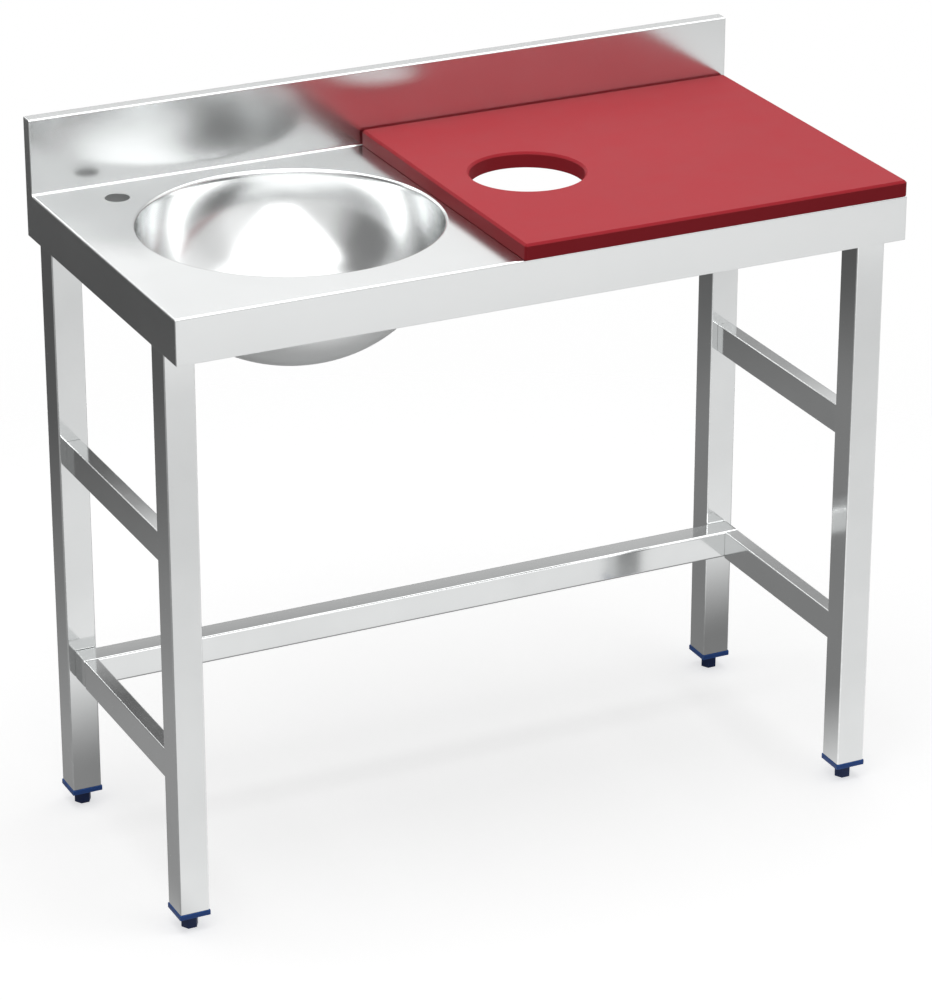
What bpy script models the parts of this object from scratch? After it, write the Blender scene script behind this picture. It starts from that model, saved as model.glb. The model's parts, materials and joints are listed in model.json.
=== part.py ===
"""Sink table for a commercial kitchen: a folded steel worktop with an upstand and a round bowl,
a lift-off cutting board with a waste chute, and a welded frame of square tube on screw feet.

Metres, +Z up. The origin is on the floor under the middle of the worktop. +X runs to the right
along the table and +Y runs back to the wall.
"""
import math

import bmesh
import bpy
from mathutils import Matrix, Vector

# Driving dimensions: the whole table
LENGTH = 1.000
DEPTH = 0.500
HEIGHT = 0.850
FIT_GAP = 0.0003

# Driving dimensions: folded worktop
SHEET = 0.0010
APRON_HEIGHT = 0.060
HEM_HEIGHT = 0.012
BEND_RADIUS = 0.0025
WELDED_EDGE_RADIUS = 0.0009
UPSTAND_HEIGHT = 0.100
UPSTAND_DEPTH = 0.020
UPSTAND_BEND_RADIUS = 0.0020
COVE_RADIUS = 0.0030

# Driving dimensions: tap hole, waste chute and stiffening channels
TAP_HOLE_DIAMETER = 0.032
TAP_HOLE_FROM_LEFT_END = 0.095
TAP_HOLE_FROM_REAR = 0.074
CHUTE_FROM_BOARD_END = 0.122
CHUTE_CLEARANCE = 0.006
CHANNEL_SHEET = 0.0012
CHANNEL_CROWN = 0.020
CHANNEL_FLANGE = 0.010
CHANNEL_HEIGHT = 0.022
CHANNEL_END_SPACE = 0.004

# Driving dimensions: spun bowl and its waste fitting
BOWL_FROM_LEFT_END = 0.258
BOWL_Y = 0.003
BOWL_OPENING_DIAMETER = 0.3950
BOWL_RIM_DROP = 0.0072
BOWL_RIM_ROUNDING = 0.0005
BOWL_RIM_SLOPE = math.radians(17.0)
BOWL_SEAM_STEP = 0.0004
BOWL_WALL = 0.0010
BOWL_DEPTH = 0.1693
RECESS_DIAMETER = 0.088
RECESS_DRAFT = 0.002
WASTE_HOLE_DIAMETER = 0.050
FLANGE_DIAMETER = 0.080
FLANGE_THICKNESS = 0.0025
FLANGE_EDGE = 0.0010
TAIL_DIAMETER = 0.048
TAIL_WALL = 0.0030
TAIL_BEYOND_NUT = 0.0010
STRAINER_HOLE_DIAMETER = 0.008
STRAINER_HOLES = 8
STRAINER_RING_DIAMETER = 0.026
GASKET_DIAMETER = 0.060
GASKET_THICKNESS = 0.0010
NUT_DIAMETER = 0.056
NUT_HEIGHT = 0.0032
NUT_NOTCHES = 8
NUT_NOTCH_WIDTH = 0.006
NUT_NOTCH_DEPTH = 0.0018

# Driving dimensions: cutting board
BOARD_THICKNESS = 0.021
BOARD_BOWL_SPACE = 0.0025
BOARD_SIDE_SPACE = 0.002
BOARD_UPSTAND_SPACE = 0.0018
BOARD_OVERHANG = 0.0035
BOARD_CHAMFER = 0.003
BOARD_UNDER_CHAMFER = 0.0004
BOARD_HOLE_DIAMETER = 0.148

# Driving dimensions: tube frame
LEG_WIDTH = 0.040
LEG_WALL = 0.0012
TUBE_RADIUS = 0.0015
TUBE_LEAST_INNER_RADIUS = 0.0003
FRONT_SETBACK = 0.046
REAR_SETBACK = 0.037
RAIL_WIDTH = 0.020
RAIL_HEIGHT = 0.040
RAIL_WALL = 0.0012
UPPER_RAIL_TOP = 0.531
LOWER_RAIL_TOP = 0.232
REAR_RAIL_DEPTH = 0.035
REAR_RAIL_HEIGHT = 0.038
REAR_RAIL_RADIUS = 0.0030
REAR_RAIL_WALL = 0.0015
END_PLATE_THICKNESS = 0.0015

# Driving dimensions: angle brackets and bolts that hold the worktop on the legs
BRACKET_THICKNESS = 0.003
BRACKET_REACH = 0.025
BRACKET_DROP = 0.035
BRACKET_RADIUS = 0.004
BOLT_DIAMETER = 0.006
BOLT_HEAD_ACROSS_FLATS = 0.010
BOLT_HEAD_HEIGHT = 0.004
BOLT_LENGTH = 0.014
BOLT_SPACING = 0.020
BOLT_BELOW_SHEET = 0.021

# Driving dimensions: screw feet
INSERT_PLATE_HEIGHT = 0.007
INSERT_OVERHANG = 0.001
INSERT_PLUG_HEIGHT = 0.030
INSERT_FIN_DEPTH = 0.0015
INSERT_FIN_CREST = 0.002
INSERT_FIN_SLOPE = 0.002
INSERT_FIN_END_SLOPE = 0.003
INSERT_FINS = 3
INSERT_EDGE = 0.0008
INSERT_CORNER_RADIUS = 0.0008
FOOT_HEIGHT = 0.020
FOOT_ACROSS_FLATS = 0.020
FOOT_CHAMFER = 0.0010
FOOT_SOCKET_DEPTH = 0.014
STUD_DIAMETER = 0.010
STUD_ABOVE_FOOT = 0.045
STUD_TIP_CHAMFER = 0.0010

# Facets: the bolts' count is a multiple of six, so that the head's corners fall on points
CIRCLE_SEGMENTS = 64
RING_SEGMENTS = 48
STUD_SEGMENTS = 24
BOLT_SEGMENTS = 24
TINY_CIRCLE_SEGMENTS = 16
BOWL_RINGS = 11
BEND_STEPS = 4
CORNER_STEPS = 2
SHARP_ANGLE = math.radians(40.0)
CUTTER_MARGIN = 0.010
MERGE_DISTANCE = 1e-6

SIDES = {"left": -1, "right": 1}

# Places that follow from the driving dimensions
FRONT_Y = -DEPTH / 2
REAR_Y = DEPTH / 2
UPSTAND_FACE_Y = REAR_Y - UPSTAND_DEPTH
APRON_BOTTOM = HEIGHT - APRON_HEIGHT
SHEET_UNDERSIDE = HEIGHT - SHEET
UPSTAND_TOP = HEIGHT + UPSTAND_HEIGHT
HEM_THICKNESS = 2 * SHEET
LEG_BOTTOM = FOOT_HEIGHT + INSERT_PLATE_HEIGHT + 2 * FIT_GAP
LEG_TOP = SHEET_UNDERSIDE - FIT_GAP
LEG_CENTRE_X = LENGTH / 2 - HEM_THICKNESS - FIT_GAP - LEG_WIDTH / 2
LEG_CENTRE_Y = {
    "front": FRONT_Y + FRONT_SETBACK + LEG_WIDTH / 2,
    "rear": REAR_Y - REAR_SETBACK - LEG_WIDTH / 2,
}
RAIL_FRONT_END = LEG_CENTRE_Y["front"] + LEG_WIDTH / 2 + FIT_GAP
RAIL_REAR_END = LEG_CENTRE_Y["rear"] - LEG_WIDTH / 2 - FIT_GAP
REAR_RAIL_FRONT = RAIL_REAR_END - REAR_RAIL_DEPTH
TAP_HOLE_X = TAP_HOLE_FROM_LEFT_END - LENGTH / 2
TAP_HOLE_Y = REAR_Y - TAP_HOLE_FROM_REAR
BOWL_X = BOWL_FROM_LEFT_END - LENGTH / 2
BOWL_RIM_STRAIGHT = BOWL_RIM_DROP - BOWL_RIM_ROUNDING * (1.0 - math.sin(BOWL_RIM_SLOPE))
BOWL_RIM_RUN = BOWL_RIM_ROUNDING * math.cos(BOWL_RIM_SLOPE) + BOWL_RIM_STRAIGHT * math.tan(BOWL_RIM_SLOPE)
COLLAR_RADIUS = BOWL_OPENING_DIAMETER / 2 - BOWL_RIM_RUN
BOWL_TOP = HEIGHT - BOWL_RIM_DROP - FIT_GAP
BOWL_RADIUS = COLLAR_RADIUS - BOWL_SEAM_STEP
BOWL_FLOOR = BOWL_TOP - BOWL_DEPTH
BOARD_LEFT = BOWL_X + BOWL_OPENING_DIAMETER / 2 + BOARD_BOWL_SPACE
BOARD_RIGHT = LENGTH / 2 - BOARD_SIDE_SPACE
BOARD_FRONT = FRONT_Y - BOARD_OVERHANG
BOARD_REAR = UPSTAND_FACE_Y - BOARD_UPSTAND_SPACE
BOARD_CENTRE_Y = (BOARD_FRONT + BOARD_REAR) / 2
BOARD_BOTTOM = HEIGHT + FIT_GAP
CHUTE_X = BOARD_LEFT + CHUTE_FROM_BOARD_END
CHUTE_RADIUS = BOARD_HOLE_DIAMETER / 2 + CHUTE_CLEARANCE
LEFT_CHANNEL_X = (BOWL_X + COLLAR_RADIUS + SHEET + CHUTE_X - CHUTE_RADIUS) / 2
RIGHT_CHANNEL_X = (CHUTE_X + CHUTE_RADIUS + LENGTH / 2) / 2

# Finishes: name, colour, roughness and metallic value
BRUSHED_STEEL = ("brushed_steel", (0.62, 0.63, 0.63), 0.28, 1.0)
POLISHED_BOWL = ("satin_bowl_steel", (0.66, 0.67, 0.67), 0.22, 1.0)
ZINC_STEEL = ("zinc_plated_steel", (0.55, 0.56, 0.58), 0.35, 1.0)
RED_BOARD = ("red_polyethylene", (0.42, 0.035, 0.050), 0.45, 0.0)
BLUE_PLASTIC = ("blue_nylon", (0.025, 0.060, 0.260), 0.40, 0.0)
NAVY_PLASTIC = ("navy_nylon", (0.012, 0.016, 0.090), 0.42, 0.0)
BLACK_PLASTIC = ("black_nylon", (0.020, 0.020, 0.022), 0.45, 0.0)
BLACK_RUBBER = ("black_rubber", (0.020, 0.020, 0.020), 0.70, 0.0)


def clear_scene():
    """Remove every object that the file opened with."""
    for old in list(bpy.data.objects):
        bpy.data.objects.remove(old, do_unlink=True)


def finish_material(finish):
    """Return the Principled material of one finish, made on first use."""
    name, colour, roughness, metallic = finish
    material = bpy.data.materials.get(name)
    if material is None:
        material = bpy.data.materials.new(name)
        material.use_nodes = True
        shader = material.node_tree.nodes["Principled BSDF"]
        shader.inputs["Base Color"].default_value = (*colour, 1.0)
        shader.inputs["Roughness"].default_value = roughness
        shader.inputs["Metallic"].default_value = metallic
        material.diffuse_color = (*colour, 1.0)
    return material


def place_mesh(name, shape, finish=None, location=(0.0, 0.0, 0.0)):
    """Put a bmesh into the scene as one named object. Without a finish it is a cutter."""
    bmesh.ops.recalc_face_normals(shape, faces=shape.faces)
    mesh = bpy.data.meshes.new(name)
    shape.to_mesh(mesh)
    shape.free()
    placed = bpy.data.objects.new(name, mesh)
    placed.location = location
    bpy.context.scene.collection.objects.link(placed)
    if finish is None:
        placed.hide_render = True
        placed.display_type = "WIRE"
    else:
        mesh.materials.append(finish_material(finish))
        mesh.shade_smooth()
        mesh.set_sharp_from_angle(angle=SHARP_ANGLE)
    return placed


def combine(target, tool, operation="DIFFERENCE"):
    """Cut a tool away from a target, or join it on with UNION."""
    step = target.modifiers.new(f"{operation.lower()} {tool.name}", "BOOLEAN")
    step.operation = operation
    step.object = tool
    step.solver = "EXACT"


def rounded_outline(corners):
    """Points of a closed outline whose corners (u, v, radius, steps) are rounded by arcs."""
    points = []
    count = len(corners)
    for index, (u, v, radius, steps) in enumerate(corners):
        corner = Vector((u, v))
        if radius <= 0.0:
            points.append(corner)
            continue
        before = Vector(corners[index - 1][:2]) - corner
        after = Vector(corners[(index + 1) % count][:2]) - corner
        before.normalize()
        after.normalize()
        half_angle = before.angle(after) / 2
        middle = (before + after).normalized()
        centre = corner + middle * (radius / math.sin(half_angle))
        start = corner + before * (radius / math.tan(half_angle)) - centre
        end = corner + after * (radius / math.tan(half_angle)) - centre
        turn = start.angle_signed(end)
        for step in range(steps + 1):
            points.append(centre + Matrix.Rotation(-turn * step / steps, 2) @ start)
    return points


def rectangle(width, height, radius, steps=CORNER_STEPS, centre=(0.0, 0.0)):
    """Corners of a rounded rectangle, ready for rounded_outline."""
    u, v = centre
    return [
        (u - width / 2, v - height / 2, radius, steps),
        (u + width / 2, v - height / 2, radius, steps),
        (u + width / 2, v + height / 2, radius, steps),
        (u - width / 2, v + height / 2, radius, steps),
    ]


def to_space(point, along, axis):
    """Place an outline's (u, v) point at a distance along X, Y or Z."""
    if axis == "X":
        return Vector((along, point[0], point[1]))
    if axis == "Y":
        return Vector((point[0], along, point[1]))
    return Vector((point[0], point[1], along))


def prism(outline, axis, start, end):
    """A solid bar: one outline carried straight along an axis."""
    shape = bmesh.new()
    ring = [shape.verts.new(to_space(point, start, axis)) for point in outline]
    face = shape.faces.new(ring)
    moved = bmesh.ops.extrude_face_region(shape, geom=[face])["geom"]
    top = [item for item in moved if isinstance(item, bmesh.types.BMVert)]
    bmesh.ops.translate(shape, verts=top, vec=to_space((0.0, 0.0), end - start, axis))
    return shape


def hollow_prism(outer, inner, axis, start, end):
    """A tube with open ends: two outlines of equally many points, bridged at both ends."""
    shape = bmesh.new()
    rings = []
    for outline, along in ((outer, start), (outer, end), (inner, end), (inner, start)):
        rings.append([shape.verts.new(to_space(point, along, axis)) for point in outline])
    count = len(outer)
    for first, second in zip(rings, rings[1:] + rings[:1]):
        for index in range(count):
            following = (index + 1) % count
            shape.faces.new((first[index], first[following], second[following], second[index]))
    return shape


def box_shape(low, high):
    """A plain box between two corners."""
    outline = [(low[0], low[1]), (high[0], low[1]), (high[0], high[1]), (low[0], high[1])]
    return prism(outline, "Z", low[2], high[2])


def turned(profile, segments, centre=(0.0, 0.0)):
    """A body turned about a vertical axis from a closed profile of (radius, height) points."""
    shape = bmesh.new()
    ring = [shape.verts.new((radius, 0.0, height)) for radius, height in profile]
    edges = [shape.edges.new((ring[index - 1], ring[index])) for index in range(len(ring))]
    bmesh.ops.spin(
        shape,
        geom=ring + edges,
        cent=(0.0, 0.0, 0.0),
        axis=(0.0, 0.0, 1.0),
        angle=math.tau,
        steps=segments,
        use_merge=True,
    )
    bmesh.ops.remove_doubles(shape, verts=shape.verts, dist=MERGE_DISTANCE)
    bmesh.ops.dissolve_degenerate(shape, edges=shape.edges, dist=1e-7)
    loose = [edge for edge in shape.edges if not edge.link_faces]
    bmesh.ops.delete(shape, geom=loose, context="EDGES")
    bmesh.ops.translate(shape, verts=shape.verts, vec=(centre[0], centre[1], 0.0))
    return shape


def cylinder(radius, start, end, segments, centre=(0.0, 0.0), axis="Z"):
    """A round bar along an axis, with one of its corners on the first outline direction."""
    outline = []
    for step in range(segments):
        angle = math.tau * step / segments
        outline.append((centre[0] + radius * math.cos(angle), centre[1] + radius * math.sin(angle)))
    return prism(outline, axis, start, end)


def hexagon(across_flats, centre=(0.0, 0.0)):
    """Outline of a hexagon with two corners on the first outline direction."""
    radius = across_flats / math.sqrt(3.0)
    points = []
    for step in range(6):
        angle = math.tau * step / 6
        points.append((centre[0] + radius * math.cos(angle), centre[1] + radius * math.sin(angle)))
    return points


def side_bend(name, inset):
    """Cutters that round the two long side edges of the worktop by the bend radius."""
    radius = BEND_RADIUS - inset
    top = HEIGHT - inset
    cutters = []
    for side, sign in SIDES.items():
        edge = LENGTH / 2 - inset
        outline = [(sign * (edge + CUTTER_MARGIN), top + CUTTER_MARGIN)]
        outline.append((sign * (edge - radius), top + CUTTER_MARGIN))
        for step in range(BEND_STEPS + 1):
            angle = math.pi / 2 * step / BEND_STEPS
            across = edge - radius + radius * math.sin(angle)
            outline.append((sign * across, top - radius + radius * math.cos(angle)))
        outline.append((sign * (edge + CUTTER_MARGIN), top - radius))
        bar = prism(outline, "Y", FRONT_Y - CUTTER_MARGIN, UPSTAND_FACE_Y + inset)
        cutters.append(place_mesh(f"{name}_{side}", bar))
    return cutters


def worktop_outline(inset, bottom, bottom_radius):
    """Side view of the worktop, drawn in by an inset: apron, bend, top, cove, upstand and rear."""
    front = FRONT_Y + inset
    rear = REAR_Y - inset
    face = UPSTAND_FACE_Y + inset
    top = HEIGHT - inset
    crest = UPSTAND_TOP - inset
    return rounded_outline([
        (front, bottom, bottom_radius, CORNER_STEPS),
        (rear, bottom, bottom_radius, CORNER_STEPS),
        (rear, crest, UPSTAND_BEND_RADIUS - inset, BEND_STEPS),
        (face, crest, UPSTAND_BEND_RADIUS - inset, BEND_STEPS),
        (face, top, COVE_RADIUS + inset, BEND_STEPS),
        (front, top, BEND_RADIUS - inset, BEND_STEPS),
    ])


def make_worktop():
    """The folded sheet: its outer body, less everything inside the sheet thickness."""
    outer = prism(worktop_outline(0.0, APRON_BOTTOM, SHEET), "X", -LENGTH / 2, LENGTH / 2)
    ends = [edge for edge in outer.edges if abs(edge.verts[0].co.x - edge.verts[1].co.x) < FIT_GAP]
    bmesh.ops.bevel(
        outer,
        geom=ends,
        offset=WELDED_EDGE_RADIUS,
        segments=CORNER_STEPS,
        profile=0.5,
        affect="EDGES",
        clamp_overlap=True,
    )
    worktop = place_mesh("worktop", outer, BRUSHED_STEEL)
    for cutter in side_bend("worktop_side_bend", 0.0):
        combine(worktop, cutter)

    half_inside = LENGTH / 2 - SHEET
    hem_top = APRON_BOTTOM + HEM_HEIGHT
    hollow = prism(worktop_outline(SHEET, hem_top, 0.0), "X", -half_inside, half_inside)
    inside = place_mesh("worktop_inside", hollow)
    for cutter in side_bend("worktop_inside_bend", SHEET):
        combine(inside, cutter)
    between_hems = box_shape(
        (-LENGTH / 2 + HEM_THICKNESS, FRONT_Y + HEM_THICKNESS, APRON_BOTTOM - CUTTER_MARGIN),
        (LENGTH / 2 - HEM_THICKNESS, REAR_Y - HEM_THICKNESS, hem_top + CUTTER_MARGIN),
    )
    combine(inside, place_mesh("worktop_between_hems", between_hems), "UNION")
    combine(inside, place_mesh("worktop_bowl_collar", bowl_collar()))
    combine(worktop, inside)

    combine(worktop, place_mesh("worktop_bowl_opening", bowl_opening()))
    low = APRON_BOTTOM
    high = HEIGHT + CUTTER_MARGIN
    tap_hole = cylinder(TAP_HOLE_DIAMETER / 2, low, high, RING_SEGMENTS, (TAP_HOLE_X, TAP_HOLE_Y))
    combine(worktop, place_mesh("worktop_tap_hole", tap_hole))
    chute = cylinder(CHUTE_RADIUS, low, high, CIRCLE_SEGMENTS, (CHUTE_X, BOARD_CENTRE_Y))
    combine(worktop, place_mesh("worktop_chute_hole", chute))

    end_slot = box_shape(
        (-LENGTH / 2 - CUTTER_MARGIN, UPSTAND_FACE_Y + SHEET, HEIGHT),
        (LENGTH / 2 + CUTTER_MARGIN, REAR_Y - SHEET, UPSTAND_TOP - SHEET),
    )
    combine(worktop, place_mesh("worktop_upstand_ends", end_slot))
    return worktop


def bowl_collar():
    """The body of the sloped collar that is pressed down round the bowl's opening."""
    edge = BOWL_OPENING_DIAMETER / 2 + SHEET
    low = HEIGHT - BOWL_RIM_DROP
    return turned([
        (0.0, HEIGHT + CUTTER_MARGIN), (edge, HEIGHT + CUTTER_MARGIN), (edge, HEIGHT),
        (COLLAR_RADIUS + SHEET, low), (0.0, low),
    ], CIRCLE_SEGMENTS, (BOWL_X, BOWL_Y))


def bowl_opening():
    """The turned space above the bowl: a rounded edge, then the slope down to the bowl."""
    edge = BOWL_OPENING_DIAMETER / 2
    profile = [(0.0, HEIGHT + CUTTER_MARGIN), (edge, HEIGHT + CUTTER_MARGIN)]
    for step in range(CORNER_STEPS + 1):
        angle = (math.pi / 2 - BOWL_RIM_SLOPE) * step / CORNER_STEPS
        radius = edge - BOWL_RIM_ROUNDING * math.sin(angle)
        profile.append((radius, HEIGHT - BOWL_RIM_ROUNDING * (1.0 - math.cos(angle))))
    profile.append((COLLAR_RADIUS, HEIGHT - BOWL_RIM_DROP))
    profile.append((COLLAR_RADIUS, APRON_BOTTOM))
    profile.append((0.0, APRON_BOTTOM))
    return turned(profile, CIRCLE_SEGMENTS, (BOWL_X, BOWL_Y))


def make_upstand_caps():
    """The small plates that are welded into the open ends of the upstand, flush outside."""
    for side, sign in SIDES.items():
        outer = sign * LENGTH / 2
        inner = sign * (LENGTH / 2 - SHEET)
        plate = box_shape(
            (min(outer, inner), UPSTAND_FACE_Y + SHEET + FIT_GAP, HEIGHT + FIT_GAP),
            (max(outer, inner), REAR_Y - SHEET - FIT_GAP, UPSTAND_TOP - SHEET - FIT_GAP),
        )
        place_mesh(f"upstand_cap_{side}", plate, BRUSHED_STEEL)


def make_channels():
    """Top-hat channels that are spot welded across the underside of the worktop."""
    top = SHEET_UNDERSIDE - FIT_GAP
    half_crown = CHANNEL_CROWN / 2
    half_width = half_crown + CHANNEL_FLANGE
    wall = CHANNEL_SHEET
    bottom = top - CHANNEL_HEIGHT
    start = FRONT_Y + HEM_THICKNESS + CHANNEL_END_SPACE
    end = UPSTAND_FACE_Y - CHANNEL_END_SPACE
    for side, x in (("left", LEFT_CHANNEL_X), ("right", RIGHT_CHANNEL_X)):
        outline = [
            (-half_width, top), (-half_width, top - wall), (-half_crown, top - wall),
            (-half_crown, bottom), (half_crown, bottom), (half_crown, top - wall),
            (half_width, top - wall), (half_width, top), (half_crown - wall, top),
            (half_crown - wall, bottom + wall), (wall - half_crown, bottom + wall),
            (wall - half_crown, top),
        ]
        place_mesh(f"underside_channel_{side}", prism(outline, "Y", start, end), BRUSHED_STEEL, (x, 0, 0))


def bowl_wall_points(radius, depth, from_radius):
    """Quarter ellipse from the rim down to a radius near the bottom."""
    last = math.acos(from_radius / radius)
    points = []
    for step in range(BOWL_RINGS):
        angle = last * step / (BOWL_RINGS - 1)
        points.append((radius * math.cos(angle), BOWL_TOP - depth * math.sin(angle)))
    return points


def make_bowl():
    """The spun bowl: a half ellipsoid with a pressed flat recess for the waste fitting."""
    recess = RECESS_DIAMETER / 2
    inside = bowl_wall_points(BOWL_RADIUS, BOWL_DEPTH, recess)
    inside.append((recess - RECESS_DRAFT, BOWL_FLOOR))
    inside.append((WASTE_HOLE_DIAMETER / 2, BOWL_FLOOR))
    outside = bowl_wall_points(BOWL_RADIUS + BOWL_WALL, BOWL_DEPTH + BOWL_WALL, recess + BOWL_WALL)
    outside.append((recess - RECESS_DRAFT + BOWL_WALL / 2, BOWL_FLOOR - BOWL_WALL))
    outside.append((WASTE_HOLE_DIAMETER / 2, BOWL_FLOOR - BOWL_WALL))
    profile = inside + outside[::-1]
    bowl = turned(profile, CIRCLE_SEGMENTS)
    place_mesh("bowl", bowl, POLISHED_BOWL, (BOWL_X, BOWL_Y, 0.0))


def make_waste_fitting():
    """Strainer flange with its threaded tail, the gasket under the bowl and the ring nut."""
    place = (BOWL_X, BOWL_Y, 0.0)
    seat = BOWL_FLOOR + FIT_GAP
    crown = seat + FLANGE_THICKNESS
    gasket_top = BOWL_FLOOR - BOWL_WALL - FIT_GAP
    nut_top = gasket_top - GASKET_THICKNESS - FIT_GAP
    nut_bottom = nut_top - NUT_HEIGHT
    tail_end = nut_bottom - TAIL_BEYOND_NUT
    rim = FLANGE_DIAMETER / 2
    tail = TAIL_DIAMETER / 2
    flange = turned([
        (0.0, crown), (rim - FLANGE_EDGE, crown), (rim, crown - FLANGE_EDGE), (rim, seat),
        (tail, seat), (tail, tail_end), (tail - TAIL_WALL, tail_end), (tail - TAIL_WALL, seat),
        (0.0, seat),
    ], RING_SEGMENTS)
    flange = place_mesh("waste_flange", flange, POLISHED_BOWL, place)
    for number in range(STRAINER_HOLES + 1):
        angle = math.tau * number / STRAINER_HOLES
        reach = STRAINER_RING_DIAMETER / 2 if number < STRAINER_HOLES else 0.0
        spot = (BOWL_X + reach * math.cos(angle), BOWL_Y + reach * math.sin(angle))
        hole = cylinder(
            STRAINER_HOLE_DIAMETER / 2,
            seat - CUTTER_MARGIN / 2,
            crown + CUTTER_MARGIN / 2,
            TINY_CIRCLE_SEGMENTS,
            spot,
        )
        combine(flange, place_mesh(f"strainer_hole_{number}", hole))

    bore = tail + FIT_GAP
    gasket = hollow_turned(bore, GASKET_DIAMETER / 2, gasket_top - GASKET_THICKNESS, gasket_top)
    place_mesh("waste_gasket", gasket, BLACK_RUBBER, place)
    nut = hollow_turned(bore, NUT_DIAMETER / 2, nut_bottom, nut_top)
    nut = place_mesh("waste_ring_nut", nut, BLACK_PLASTIC, place)
    for number in range(NUT_NOTCHES):
        angle = math.tau * number / NUT_NOTCHES
        notch = box_shape(
            (NUT_DIAMETER / 2 - NUT_NOTCH_DEPTH, -NUT_NOTCH_WIDTH / 2, nut_bottom - CUTTER_MARGIN),
            (NUT_DIAMETER / 2 + CUTTER_MARGIN, NUT_NOTCH_WIDTH / 2, nut_top + CUTTER_MARGIN),
        )
        bmesh.ops.rotate(notch, verts=notch.verts, cent=(0, 0, 0), matrix=Matrix.Rotation(angle, 3, "Z"))
        combine(nut, place_mesh(f"nut_notch_{number}", notch, None, place))


def hollow_turned(inner, outer, bottom, top):
    """A plain ring with a bore."""
    profile = [(inner, top), (outer, top), (outer, bottom), (inner, bottom)]
    return turned(profile, RING_SEGMENTS)


def make_board():
    """The cutting board: chamfered all round, with a chamfered hole over the waste chute. The cut
    at each upright corner runs out to nothing where the chamfer meets the top."""
    length = BOARD_RIGHT - BOARD_LEFT
    depth = BOARD_REAR - BOARD_FRONT
    top = BOARD_THICKNESS
    levels = (
        (0.0, BOARD_UNDER_CHAMFER),
        (BOARD_UNDER_CHAMFER, 0.0),
        (top - BOARD_CHAMFER, 0.0),
        (top, BOARD_CHAMFER),
    )
    shape = bmesh.new()
    rings = []
    for height, inset in levels:
        u = length / 2 - inset
        v = depth / 2 - inset
        cut = BOARD_CHAMFER - inset
        corners = [
            (-u + cut, -v), (u - cut, -v), (u, -v + cut), (u, v - cut),
            (u - cut, v), (-u + cut, v), (-u, v - cut), (-u, -v + cut),
        ]
        rings.append([shape.verts.new((x, y, height)) for x, y in corners])
    stack_rings(shape, rings)
    bmesh.ops.remove_doubles(shape, verts=shape.verts, dist=MERGE_DISTANCE)
    place = ((BOARD_LEFT + BOARD_RIGHT) / 2, BOARD_CENTRE_Y, BOARD_BOTTOM)
    board = place_mesh("cutting_board", shape, RED_BOARD, place)

    bore = BOARD_HOLE_DIAMETER / 2
    hole = turned([
        (0.0, top + CUTTER_MARGIN), (bore + BOARD_CHAMFER + CUTTER_MARGIN, top + CUTTER_MARGIN),
        (bore, top - BOARD_CHAMFER), (bore, BOARD_UNDER_CHAMFER),
        (bore + BOARD_UNDER_CHAMFER + CUTTER_MARGIN, -CUTTER_MARGIN), (0.0, -CUTTER_MARGIN),
    ], CIRCLE_SEGMENTS)
    combine(board, place_mesh("cutting_board_hole", hole, None, (CHUTE_X, BOARD_CENTRE_Y, BOARD_BOTTOM)))


def stack_rings(shape, rings):
    """Close a stack of equal rings: walls between neighbours and a face at each end."""
    count = len(rings[0])
    for lower, upper in zip(rings, rings[1:]):
        for index in range(count):
            following = (index + 1) % count
            shape.faces.new((lower[index], lower[following], upper[following], upper[index]))
    shape.faces.new(rings[0][::-1])
    shape.faces.new(rings[-1])


def tube(name, width, height, wall, radius, axis, start, end, centre):
    """A rounded tube with open ends along one axis."""
    inner_radius = max(radius - wall, TUBE_LEAST_INNER_RADIUS)
    outer = rounded_outline(rectangle(width, height, radius, centre=centre))
    inner = rounded_outline(
        rectangle(width - 2 * wall, height - 2 * wall, inner_radius, centre=centre)
    )
    return place_mesh(name, hollow_prism(outer, inner, axis, start, end), BRUSHED_STEEL)


def bolt_places(side, row):
    """Centres of the two bolts of one bracket, on the leg's inner face."""
    inner_face = SIDES[side] * (LEG_CENTRE_X - LEG_WIDTH / 2)
    height = SHEET_UNDERSIDE - BOLT_BELOW_SHEET
    for number, shift in enumerate((-BOLT_SPACING / 2, BOLT_SPACING / 2), start=1):
        yield number, Vector((inner_face, LEG_CENTRE_Y[row] + shift, height))


def bolt_hole(name, spot):
    """A cutter along X, as wide as the bolt and its clearance."""
    reach = BRACKET_THICKNESS + LEG_WALL + CUTTER_MARGIN / 2
    radius = BOLT_DIAMETER / 2 + FIT_GAP
    bar = cylinder(radius, spot.x - reach, spot.x + reach, TINY_CIRCLE_SEGMENTS, (spot.y, spot.z), "X")
    return place_mesh(name, bar)


def make_leg(side, row):
    """One leg: square tube, drilled for the two bracket bolts."""
    centre = (SIDES[side] * LEG_CENTRE_X, LEG_CENTRE_Y[row])
    leg = tube(
        f"leg_{row}_{side}", LEG_WIDTH, LEG_WIDTH, LEG_WALL, TUBE_RADIUS, "Z", LEG_BOTTOM, LEG_TOP, centre
    )
    for number, spot in bolt_places(side, row):
        combine(leg, bolt_hole(f"leg_hole_{row}_{side}_{number}", spot))


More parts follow.
